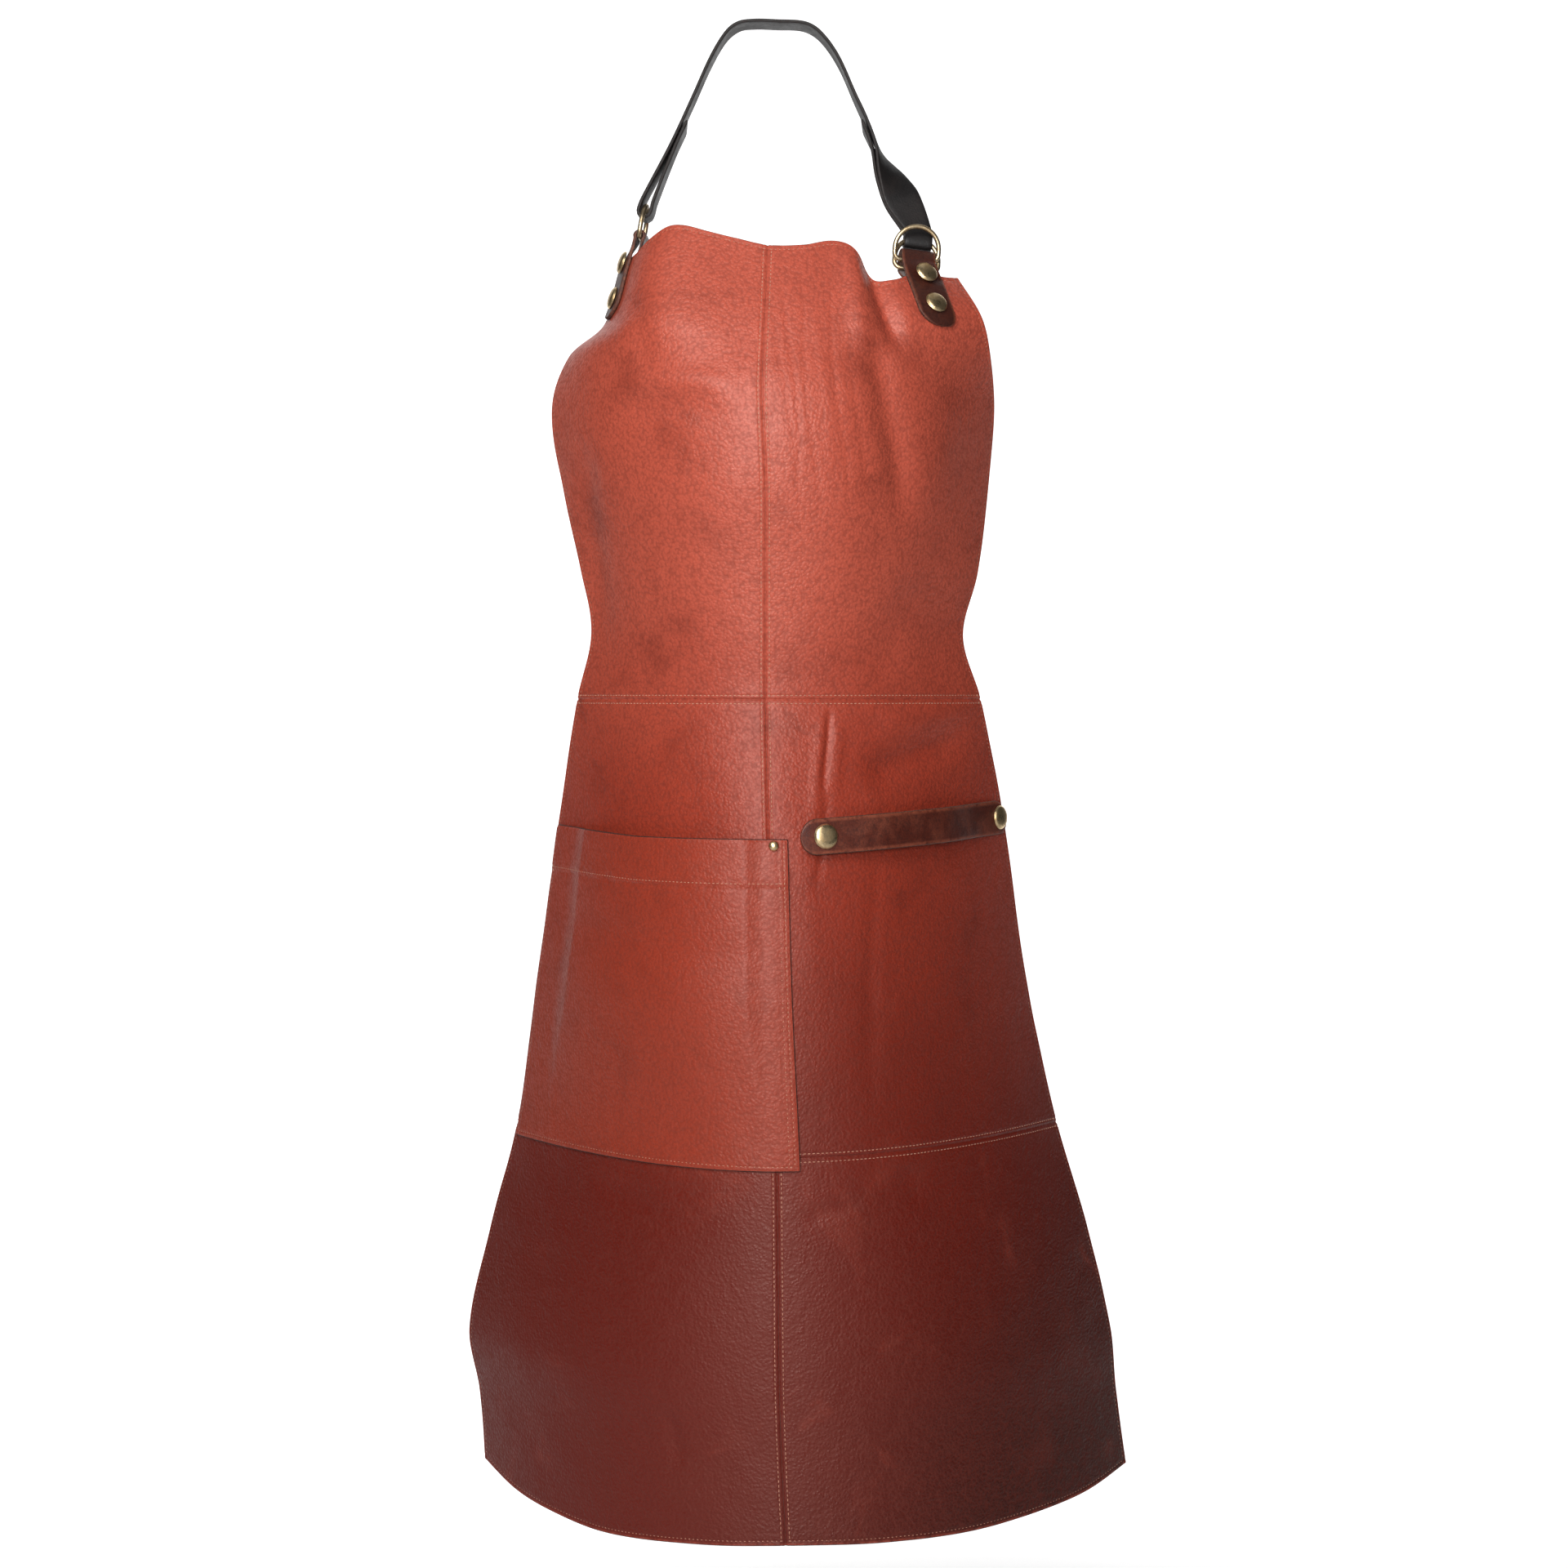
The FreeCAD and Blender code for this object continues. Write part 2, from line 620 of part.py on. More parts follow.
def neck_strap():
    """One strap: the sewn end at the left, its loop, the arch, the loop at the right and the free tail."""
    arch, inward = neck_arch()

    def doubled_place(index, narrow=0.0):
        centre, wide, half = arch[index]
        return centre + inward[index] * neck_doubled, wide, half - narrow

    left_seat = Frame(left_ring_seat.at(0.0, 18.2), left_ring_seat.wide, arch[1][0] - arch[0][0])
    right_seat = Frame(rear_ring_seat.at(0.0, 19.0), rear_ring_seat.wide, rear_ring_seat.up)
    left_turn = [(centre, wide * -1.0, half)
                 for centre, wide, half in loop_stations(left_seat, LEFT_LOOP_GAP, 7.5, 10.5)]
    right_turn = loop_stations(right_seat, RIGHT_LOOP_GAP, 7.0, 9.5)
    tip = doubled_place(2)
    near_tip = doubled_place(1)
    left_end = [((tip[0] + near_tip[0]) * 0.5, near_tip[1], half_neck), near_tip]
    tail = [doubled_place(index) for index in (-1, -2, -3, -4)]
    way = left_end + left_turn[::-1] + arch[1:] + right_turn + tail
    feature("neck_strap", band(way, strap_leather))


neck_strap()


# --- the towel strap ------------------------------------------------------------------------------------

SPLIT = 0.55
half_towel = size("towel_strap_width") / 2
SNAP_ACROSS = across_at(*SNAP)
STRAP_START = across_at(17.0, SNAP[1])
STRAP_FINISH = 0.998
SNAP_STACK = 4.2


def towel_height(across):
    return SNAP[1] + 7.6 * (across - SNAP_ACROSS) / (STRAP_END_RIVET[0] - SNAP_ACROSS)


def towel_gap(across):
    """The room between the strap and the apron: none at the riveted end, most in the middle."""
    room = SNAP_STACK + (size("towel_room") - SNAP_STACK) * ease((across - SNAP_ACROSS - 0.05) / 0.2)
    return room + (lining_gap - room) * ease((across - 0.66) / 0.24)


def towel_piece(places):
    """A length of the towel strap through places (across, half width)."""
    faces, backs = [], []
    for across, half in places:
        gap = towel_gap(across)
        heights = [towel_height(across) + half * share for share in (-1.0, 0.0, 1.0)]
        faces.append([offset_point(across, height, gap + strap_leather) for height in heights])
        backs.append([offset_point(across, height, gap) for height in heights])
    return solid_between(faces, backs)


def round_end(start, direction, scale):
    """Places of a rounded end; scale is the strap's length, in mm, of one unit across."""
    places = []
    for distance in (0.4, 1.6, 3.6, 6.8, half_towel):
        half = math.sqrt(half_towel**2 - (half_towel - distance) ** 2)
        places.append((start + direction * distance / scale, half))
    return places


free_places = (round_end(STRAP_START, 1, 166.0) + [(0.26, half_towel), (0.33, half_towel), (0.4, half_towel)]
               + [(0.47, half_towel), (0.51, half_towel), (SPLIT - 0.0006, half_towel)])
fixed_places = ([(SPLIT + 0.0006, half_towel), (0.59, half_towel)]
                + [(across, half_towel) for across in (0.64, 0.69, 0.74, 0.79, 0.84, 0.88, 0.92)]
                + round_end(STRAP_FINISH, -1, 295.0)[::-1])
feature("towel_strap", punched(towel_piece(free_places), [snap_hole]))
feature("towel_strap_fixed_end", punched(towel_piece(fixed_places), [strap_end_hole]))


# --- rivets and snap --------------------------------------------------------------------------------------

def turned(name, outline, centre, axis):
    """A turned part: an outline of (radius, height) expressions round the fastener's axis."""
    sketch = doc.addObject("Sketcher::SketchObject", name + "_outline")
    sketch.Placement = Placement(Vector(), Rotation(Vector(1, 0, 0), 90))
    values = [(doc_value(radius), doc_value(height)) for radius, height in outline]
    count = len(values)
    for index, (radius, height) in enumerate(values):
        following = values[(index + 1) % count]
        sketch.addGeometry(Part.LineSegment(Vector(radius, height, 0), Vector(following[0], following[1], 0)))
    for index in range(count):
        sketch.addConstraint(Sketcher.Constraint("Coincident", index, 2, (index + 1) % count, 1))
    for index, (radius, height) in enumerate(outline):
        for kind, text, value in (("DistanceX", radius, values[index][0]), ("DistanceY", height, values[index][1])):
            if abs(value) < 1e-9:
                axis_line = -2 if kind == "DistanceX" else -1
                sketch.addConstraint(Sketcher.Constraint("PointOnObject", index, 1, axis_line))
                continue
            number = sketch.addConstraint(Sketcher.Constraint(kind, -1, 1, index, 1, value))
            sketch.setExpression(f"Constraints[{number}]", text)
    part = doc.addObject("Part::Revolution", name)
    part.Label = name
    part.Source = sketch
    part.Axis = Vector(0, 0, 1)
    part.Solid = True
    part.Placement = Placement(centre, Rotation(Vector(0, 0, 1), axis))
    nodes.append(part)


def doc_value(text):
    """The present value, in mm, of an expression over the sheet."""
    return float(sizes.evalExpression(text.replace("sizes.", "")))


def rivet(name, seat, axis, outer, inner, cap, post, back_radius):
    """A capped rivet and its tubular back: outer and inner are the faces of the layers it holds."""
    centre = seat[0]
    reach = outer - inner + 1.1
    turned(name + "_cap", [("0", f"-{reach}"), (post, f"-{reach}"), (post, "0"), (cap, "0"), (cap, "0.9"),
                           (f"{cap} * 0.86", "1.9"), (f"{cap} * 0.6", "2.7"), (f"{cap} * 0.3", "3.1"),
                           ("0", "3.2")], centre + axis * outer, axis)
    bore = f"{post} + 0.05"
    turned(name + "_back", [(bore, "-1.5"), (f"{back_radius} * 0.7", "-1.5"), (f"{back_radius}", "-0.8"),
                            (f"{back_radius}", "0"), (bore, "0")], centre + axis * inner, axis)


TAB_OUTER = strap_leather + 0.75
TAB_INNER = -hide - strap_leather - 0.95
for place, seat, lift in zip(("upper", "lower"), right_tab_seats, (2.5, 0.1)):
    rivet(f"tab_rivet_right_{place}", seat, right_tab_axis, TAB_OUTER + lift, TAB_INNER - lift,
          "sizes.tab_cap", "sizes.post", 4.6)
for place, seat in zip(("upper", "lower"), left_tab_seats):
    rivet(f"tab_rivet_left_{place}", seat, left_tab_axis, TAB_OUTER + 0.15, TAB_INNER - 0.4,
          "sizes.tab_cap", "sizes.post", 4.4)
rivet("pocket_rivet", pocket_rivet_seat, pocket_rivet_seat[1], lining_gap + 0.35 + hide + 0.15, -hide - 0.15,
      "sizes.pocket_cap", "sizes.small_post", 3.4)
rivet("towel_strap_rivet", strap_end_seat, strap_end_seat[1], lining_gap + strap_leather + 0.1, -hide - 0.2,
      "sizes.snap_cap_size", "sizes.post", 4.6)


def snap():
    """A press stud: cap and socket on the towel strap, stud and its back on the apron."""
    centre, axis = snap_seat
    face = SNAP_STACK + strap_leather + 0.08
    turned("snap_cap", [("0", "-3.2"), ("sizes.post", "-3.2"), ("sizes.post", "0"), ("sizes.snap_cap_size", "0"),
                        ("sizes.snap_cap_size", "0.9"), ("sizes.snap_cap_size * 0.86", "1.9"),
                        ("sizes.snap_cap_size * 0.6", "2.7"), ("sizes.snap_cap_size * 0.3", "3.1"), ("0", "3.2")],
           centre + axis * face, axis)
    turned("snap_socket", [("4.1", "1.3"), ("6", "1.3"), ("6", "3.7"), ("5.2", "4.0"),
                           ("sizes.post + 0.05", "4.0"), ("sizes.post + 0.05", "3.2"), ("4.1", "3.2")],
           centre, axis)
    turned("snap_stud", [("0", "-2.9"), ("sizes.post", "-2.9"), ("sizes.post", "0.05"), ("5.6", "0.05"),
                         ("5.6", "0.9"), ("3.3", "0.9"), ("3.5", "1.6"), ("3.3", "2.4"), ("2.6", "2.7"),
                         ("0", "2.7")], centre, axis)
    turned("snap_stud_back", [("sizes.post + 0.05", "-3.1"), ("3.6", "-3.1"), ("5", "-2.6"), ("5", "-2.15"),
                              ("sizes.post + 0.05", "-2.15")], centre, axis)


snap()


# --- the waist strap behind -------------------------------------------------------------------------------

WAIST_HEIGHT = -422.0
BACK_Y = 113.0
half_waist = size("waist_strap_width") / 2
UPRIGHT = Vector(0, 0, 1)


def waist_stations(side):
    """From the overlap on the bib's inner face, round the wearer's side, to the straight part behind."""
    inside = -hide - lining_gap - strap_leather / 2
    way = [offset_point(side * across, WAIST_HEIGHT, inside) for across in (0.88, 0.91, 0.94, 0.97, 1.0)]
    heading = (way[-1] - way[-2]).normalize()
    start, finish = way[-1], Vector(side * 95.0, BACK_Y, WAIST_HEIGHT)
    pulls = [start, start + heading * 8.0, finish + Vector(side * 36.0, 0, 0), finish]
    for share in steps(0.0, 1.0, 9)[1:]:
        weights = [(1 - share) ** 3, 3 * share * (1 - share) ** 2, 3 * share**2 * (1 - share), share**3]
        place = Vector()
        for weight, pull in zip(weights, pulls):
            place += pull * weight
        way.append(Vector(place.x, place.y, WAIST_HEIGHT))
    return way


def waist_piece(name, flat_places, side):
    way = waist_stations(side) + [Vector(x, y, WAIST_HEIGHT) for x, y in flat_places]
    feature(name, band([(place, UPRIGHT, half_waist) for place in way], strap_leather))


slide_y = BACK_Y + size("slide_plate") / 2 + 0.85 + strap_leather / 2
fold_radius = slide_y - BACK_Y
pitch = size("slide_pitch")
left_fold_round = [(-pitch + fold_radius * math.sin(angle), slide_y - fold_radius * math.cos(angle))
                   for angle in steps(0, math.pi, 7)]
straight = [(x, BACK_Y) for x in (-85.0, -75.0, -65.0, -55.0, -45.0, -37.0, -30.0, -24.0, -20.0, -17.8)]
sewn_end = [(-17.8, slide_y + fold_radius - 0.1), (-20.5, slide_y + 2.7), (-24.0, slide_y + 1.7),
            (-28.0, slide_y + 0.7), (-32.0, BACK_Y + doubled + 0.3), (-37.0, BACK_Y + doubled),
            (-43.0, BACK_Y + doubled), (-50.0, BACK_Y + doubled)]
waist_piece("waist_strap_left", straight + left_fold_round + sewn_end, -1)
over_bar = [(fold_radius * math.sin(angle), slide_y + fold_radius * math.cos(angle))
            for angle in steps(0.85, -0.75, 4)]
under = BACK_Y - doubled
approach = [(x, BACK_Y - 0.1) for x in (85.0, 75.0, 65.0, 55.0, 45.0, 37.0, 30.0, 24.0, 19.0)]
approach += [(15.0, BACK_Y + 0.1), (11.0, BACK_Y + 1.3), (7.6, BACK_Y + 3.0), (4.8, BACK_Y + 4.9)]
tail_end = [(-5.4, BACK_Y + 2.8), (-8.6, BACK_Y + 0.1), (-11.6, under + 0.8), (-15.0, under - 0.1)]
tail_end += [(x, under - 0.1) for x in (-20.0, -26.0, -35.0, -45.0, -55.0, -65.0, -75.0, -84.0)]
waist_piece("waist_strap_right", approach + over_bar + tail_end, 1)


def waist_slide():
    """A flat three-bar slide: a plate with two windows."""
    plate = primitive("Part::Box", "waist_slide_plate", Length="2 * sizes.slide_pitch + sizes.slide_bar",
                      Width="sizes.slide_plate", Height="sizes.slide_height")
    windows = []
    for side in (-1, 1):
        window = primitive("Part::Box", f"waist_slide_window_{side + 1}",
                           Length="sizes.slide_pitch - sizes.slide_bar", Width="sizes.slide_plate * 3",
                           Height="sizes.slide_height - 2 * sizes.slide_bar")
        window.setExpression("Placement.Base.x", "sizes.slide_bar" if side < 0
                             else "sizes.slide_bar + sizes.slide_pitch")
        window.setExpression("Placement.Base.y", "-sizes.slide_plate")
        window.setExpression("Placement.Base.z", "sizes.slide_bar")
        windows.append(window)
    cutter = doc.addObject("Part::MultiFuse", "waist_slide_windows")
    cutter.Shapes = windows
    frame = doc.addObject("Part::Cut", "waist_slide")
    frame.Label = "waist_slide"
    frame.Base = plate
    frame.Tool = cutter
    frame.Placement = Placement(Vector(-pitch - size("slide_bar") / 2, slide_y - size("slide_plate") / 2,
                                       WAIST_HEIGHT - size("slide_height") / 2), Rotation())
    nodes.append(frame)


def keeper():
    """A leather loop round the strap and its tail."""
    layers = "(2 * sizes.strap_leather + 0.35 + 2 * sizes.keeper_play)"
    tall = "(sizes.waist_strap_width + 2 * sizes.keeper_play)"
    block = primitive("Part::Box", "keeper_block", Length="sizes.keeper_length",
                      Width=f"{layers} + 2 * sizes.keeper_leather", Height=f"{tall} + 2 * sizes.keeper_leather")
    hollow = primitive("Part::Box", "keeper_hollow", Length="3 * sizes.keeper_length", Width=layers, Height=tall)
    hollow.setExpression("Placement.Base.x", "-sizes.keeper_length")
    hollow.setExpression("Placement.Base.y", "sizes.keeper_leather")
    hollow.setExpression("Placement.Base.z", "sizes.keeper_leather")
    loop = doc.addObject("Part::Cut", "waist_keeper")
    loop.Label = "waist_keeper"
    loop.Base = block
    loop.Tool = hollow
    doc.recompute()
    box = block.Shape.BoundBox
    loop.Placement = Placement(Vector(-74.0, BACK_Y - doubled / 2 - box.YLength / 2,
                                      WAIST_HEIGHT - box.ZLength / 2), Rotation())
    nodes.append(loop)


waist_slide()
keeper()


# --- checks and files ---------------------------------------------------------------------------------------

doc.recompute()
for part in doc.Objects:
    if "Invalid" in part.State or "Error" in part.State:
        raise RuntimeError(f"{part.Name} did not compute")

os.makedirs("parts", exist_ok=True)
for part in nodes:
    shape = part.Shape
    if shape.isNull() or not shape.isValid() or len(shape.Solids) != 1:
        raise RuntimeError(f"{part.Label} is not one valid solid")
    shape.exportStep(f"parts/{part.Label}.step")
    print(part.Label)
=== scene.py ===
"""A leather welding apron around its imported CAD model: hide, stitching, straps, brass and light.

Shapes are worked out in millimetres, in the CAD's frame (+Z up, front towards -Y), and turned into metres
when a mesh is made.
"""

import math

import bpy
import numpy as np
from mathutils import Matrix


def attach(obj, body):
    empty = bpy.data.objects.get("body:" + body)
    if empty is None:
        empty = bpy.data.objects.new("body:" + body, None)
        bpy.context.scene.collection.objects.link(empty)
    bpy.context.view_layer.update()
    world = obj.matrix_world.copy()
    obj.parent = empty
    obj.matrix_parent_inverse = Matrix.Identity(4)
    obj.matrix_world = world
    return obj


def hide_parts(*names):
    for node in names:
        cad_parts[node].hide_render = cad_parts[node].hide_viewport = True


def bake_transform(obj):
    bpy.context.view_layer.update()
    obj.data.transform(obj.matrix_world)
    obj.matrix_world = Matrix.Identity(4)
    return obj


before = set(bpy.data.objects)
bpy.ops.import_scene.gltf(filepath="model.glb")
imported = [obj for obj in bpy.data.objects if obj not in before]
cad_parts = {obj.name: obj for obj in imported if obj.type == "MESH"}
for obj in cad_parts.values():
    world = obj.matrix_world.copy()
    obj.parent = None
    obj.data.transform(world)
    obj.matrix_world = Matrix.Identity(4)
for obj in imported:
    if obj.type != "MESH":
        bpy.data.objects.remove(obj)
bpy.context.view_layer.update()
MM = 0.001

# --- the worn form, as in the CAD ---

WAIST_SEAM, SKIRT_SEAM = -463.0, -761.5
HIDE, STRAP, LINING = 2.0, 2.4, 0.25
# Each station: height, left and right edge, centre seam, front, the Y of both side edges, and how late
# the form turns back towards each of them.
STATIONS = [
    # height   left    right  seam   front  left_y right_y  left_turn right_turn
    (-140.0, -92.0, 118.0, -3.5, -56.0, -6.0, -8.0, 8.0, 2.0),
    (-167.0, -103.0, 121.0, -3.8, -69.0, -4.0, -20.0, 8.0, 2.0),
    (-204.0, -116.0, 140.0, -5.0, -88.0, 0.0, -40.0, 6.0, 2.0),
    (-227.0, -141.0, 147.0, -6.0, -98.0, 4.0, -28.0, 3.5, 2.1),
    (-263.0, -153.0, 152.4, -7.0, -110.0, 7.0, 4.0, 2.3, 2.3),
    (-319.0, -144.7, 148.0, -5.0, -108.0, 5.0, 5.0, 2.2, 2.2),
    (-375.0, -133.3, 141.2, -5.0, -96.0, 2.0, 2.0, 2.2, 2.2),
    (-420.0, -126.6, 131.0, -5.0, -88.0, 0.0, 0.0, 2.1, 2.1),
    (-463.0, -136.0, 143.5, -5.0, -84.0, 10.0, 10.0, 2.0, 2.0),
    (-545.0, -150.0, 161.0, -3.3, -97.0, 33.0, 33.0, 1.9, 1.9),
    (-661.0, -167.0, 178.4, -1.0, -104.0, 46.0, 46.0, 1.9, 1.9),
    (-761.0, -181.0, 200.0, 2.5, -106.0, 50.0, 50.0, 1.9, 1.9),
    (-835.0, -200.0, 221.5, 3.5, -107.0, 50.0, 50.0, 1.9, 1.9),
    (-907.0, -215.0, 238.0, 4.2, -108.0, 50.0, 50.0, 1.9, 1.9),
    (-950.0, -207.5, 241.7, 5.5, -108.0, 48.0, 48.0, 1.9, 1.9),
    (-1012.0, -202.5, 250.0, 8.4, -109.0, 46.0, 46.0, 1.9, 1.9),
]
TOP_EDGE = [(-1.0, -164.0), (-0.91, -162.0), (-0.85, -155.0), (-0.74, -147.0), (-0.62, -146.5), (-0.45, -150.5),
            (-0.22, -156.0), (0.0, -161.0), (0.2, -160.5), (0.34, -157.0), (0.43, -159.0), (0.5, -167.0),
            (0.56, -179.5), (0.64, -182.5), (0.75, -177.5), (0.85, -176.5), (0.93, -177.5), (1.0, -177.0)]
HEM_EDGE = [(-1.0, -998.0), (-0.89, -1010.5), (-0.77, -1016.0), (-0.59, -1019.5), (-0.3, -1015.5), (0.0, -1012.0),
            (0.3, -1014.0), (0.51, -1015.5), (0.71, -1013.5), (0.86, -1010.0), (1.0, -1001.0)]


def smooth(table, place):
    """The smooth values, one row per place, of a table whose rows start with their place."""
    table = np.array(table, float)
    table = table[np.argsort(table[:, 0], kind="stable")]
    keys, values = table[:, 0], table[:, 1:]
    place = np.clip(np.asarray(place, float), keys[0], keys[-1])
    low = np.clip(np.searchsorted(keys, place, side="right") - 1, 0, len(keys) - 2)
    before = np.maximum(np.arange(len(keys)) - 1, 0)
    after = np.minimum(np.arange(len(keys)) + 1, len(keys) - 1)
    slopes = (values[after] - values[before]) / (keys[after] - keys[before])[:, None]
    span = (keys[low + 1] - keys[low])[..., None]
    share = (place - keys[low])[..., None] / span
    return ((2 * share**3 - 3 * share**2 + 1) * values[low] + (3 * share**2 - 2 * share**3) * values[low + 1]
            + (share**3 - 2 * share**2 + share) * span * slopes[low]
            + (share**3 - share**2) * span * slopes[low + 1])


def worn(across, height):
    """Points on the apron's outer face before its creases; across is -1 at the left edge, 1 at the right."""
    across, height = np.broadcast_arrays(np.asarray(across, float), np.asarray(height, float))
    left, right, seam, front, left_y, right_y, left_turn, right_turn = np.moveaxis(smooth(STATIONS, height), -1, 0)
    is_right = across > 0
    reach = np.where(is_right, right - seam, seam - left)
    side_y = np.where(is_right, right_y, left_y)
    turn = np.where(is_right, right_turn, left_turn)
    y = front + (side_y - front) * np.abs(across) ** turn
    return np.stack([seam + reach * across, y, height], -1)


def unit(vectors):
    return vectors / np.linalg.norm(vectors, axis=-1, keepdims=True)


def outward(across, height):
    step = 0.004
    along_x = worn(across + step, height) - worn(across - step, height)
    along_z = worn(across, height + 1.0) - worn(across, height - 1.0)
    return unit(np.cross(along_x, along_z))


def reach_of(side, height):
    left, right, seam = np.moveaxis(smooth(STATIONS, height)[..., :3], -1, 0)
    return right - seam if side > 0 else seam - left


def across_at(x, height):
    left, right, seam = np.moveaxis(smooth(STATIONS, height)[..., :3], -1, 0)
    return (x - seam) / np.where(x > seam, right - seam, seam - left)


def edge_scale(side, height):
    """Millimetres of hide, near a side edge, for one unit across."""
    ends = worn(np.array([side * 0.98, side * 1.0]), height)
    return float(np.linalg.norm(ends[1] - ends[0]) / 0.02)


def top_height(across):
    return smooth(TOP_EDGE, across)[..., 0]


def hem_height(across):
    return smooth(HEM_EDGE, across)[..., 0]


def ease(share):
    share = np.clip(share, 0.0, 1.0)
    return share * share * (3 - 2 * share)


# --- creases, swells and seams in the hide ---

# Each line: start (x, z), end (x, z), half width, depth in mm (negative is a hollow), all on the form.
CREASES = [
    ((64, -158), (82, -232), 7.0, -6.5), ((48, -157), (62, -235), 9.0, 3.5), ((70, -226), (86, -345), 9.0, -3.6),
    ((7, -178), (20, -345), 1.5, -0.42), ((17, -182), (30, -350), 1.4, -0.3), ((1, -205), (16, -330), 1.3, -0.28),
    ((37, -192), (49, -350), 1.5, -0.45), ((27, -200), (38, -320), 2.6, 0.3), ((52, -245), (60, -330), 2.0, -0.35),
    ((-112, -205), (-104, -250), 12.0, -1.5), ((-98, -252), (-24, -259), 8.0, 2.4),
    ((-96, -270), (-28, -275), 9.0, -1.2), ((-96, -190), (-84, -246), 8.0, -1.6),
    ((-126, -290), (-120, -420), 9.0, -2.4), ((96, -385), (66, -455), 12.0, -1.6),
    ((36, -470), (34, -524), 1.9, -2.2), ((35, -524), (28, -590), 2.2, -1.0), ((30, -474), (29, -545), 4.0, 1.0),
    ((43, -478), (42, -530), 4.0, 0.8),
    ((60, -640), (66, -730), 7.0, -0.8), ((20, -540), (26, -650), 9.0, 0.6), ((68, -570), (66, -690), 5.0, -0.7),
    ((62, -515), (132, -486), 11.0, -3.6), ((70, -478), (140, -468), 9.0, 1.8), ((56, -530), (120, -528), 8.0, 0.9),
    ((-70, -930), (-60, -965), 5.0, -1.2), ((20, -800), (60, -790), 5.0, -0.8), ((90, -772), (96, -800), 8.0, -0.9),
    ((-120, -790), (-60, -806), 9.0, -0.8),
]
# Each swell: centre (x, z), half widths in x and z, height in mm.
SWELLS = [((-112, -292), (26, 42), 3.0), ((104, -300), (22, 44), 4.5), ((110, -395), (18, 60), -2.0),
          ((-118, -400), (16, 60), -1.5), ((-60, -880), (60, 60), 1.5), ((110, -900), (70, 70), 2.0),
          ((50, -330), (26, 60), 2.0), ((-60, -330), (40, 50), 1.5)]


def relief(x, z):
    """How far the worn hide stands out from the plain form."""
    total = np.zeros(np.broadcast(x, z).shape)
    for start, end, half, depth in CREASES:
        run = np.array(end, float) - np.array(start, float)
        length = np.linalg.norm(run)
        run /= length
        along = (x - start[0]) * run[0] + (z - start[1]) * run[1]
        aside = (x - start[0]) * run[1] - (z - start[1]) * run[0]
        wander = 1.6 * np.sin(along / 23.0 + start[0])
        taper = ease(along / (0.3 * length) + 0.3) * ease((length - along) / (0.4 * length) + 0.25)
        total += depth * taper * np.exp(-(((aside - wander) / half) ** 2))
    for centre, (wide, tall), rise in SWELLS:
        total += rise * np.exp(-(((x - centre[0]) / wide) ** 2) - ((z - centre[1]) / tall) ** 2)
    ripple = np.sin(x / 9.0 + 2.1 * np.sin(z / 31.0)) * np.sin(z / 17.0 + 1.7 * np.sin(x / 26.0))
    return total + 0.16 * ripple


STITCH_IN = 2.7


def seam_dip(distance):
    """The dip of the hide at a seam, and the shallow furrow under its row of stitches."""
    return -0.9 * np.exp(-((distance / 1.1) ** 2)) - 0.32 * np.exp(-(((distance - STITCH_IN) / 0.7) ** 2))


def furrow(distance):
    """The furrow under a row of stitches along a free edge."""
    return -0.15 * np.exp(-(((distance - STITCH_IN) / 0.7) ** 2))


def skin(across, height, lift=0.0, creased=1.0):
    """Points on the worn hide, lifted off it by a distance."""
    across, height = np.broadcast_arrays(np.asarray(across, float), np.asarray(height, float))
    base = worn(across, height)
    total = lift + creased * relief(base[..., 0], base[..., 2])
    return base + outward(across, height) * np.asarray(total)[..., None]


# --- meshes ---

def add_mesh(name, points, faces, materials, face_materials=None, smooth_faces=True):
    mesh = bpy.data.meshes.new(name)
    mesh.from_pydata((np.asarray(points, float) * MM).tolist(), [], [list(map(int, face)) for face in faces])
    for material in materials:
        mesh.materials.append(material)
    if face_materials is not None:
        mesh.polygons.foreach_set("material_index", np.asarray(face_materials, np.int32))
    mesh.polygons.foreach_set("use_smooth", [smooth_faces] * len(mesh.polygons))
    mesh.validate()
    mesh.update()
    piece = bpy.data.objects.new(name, mesh)
    bpy.context.scene.collection.objects.link(piece)
    return piece


def ring_of(rows, columns):
    """The grid places round the edge of a grid, in order, starting at its first corner."""
    loop = [(0, c) for c in range(columns - 1)] + [(r, columns - 1) for r in range(rows - 1)]
    loop += [(rows - 1, c) for c in range(columns - 1, 0, -1)] + [(r, 0) for r in range(rows - 1, 0, -1)]
    return loop


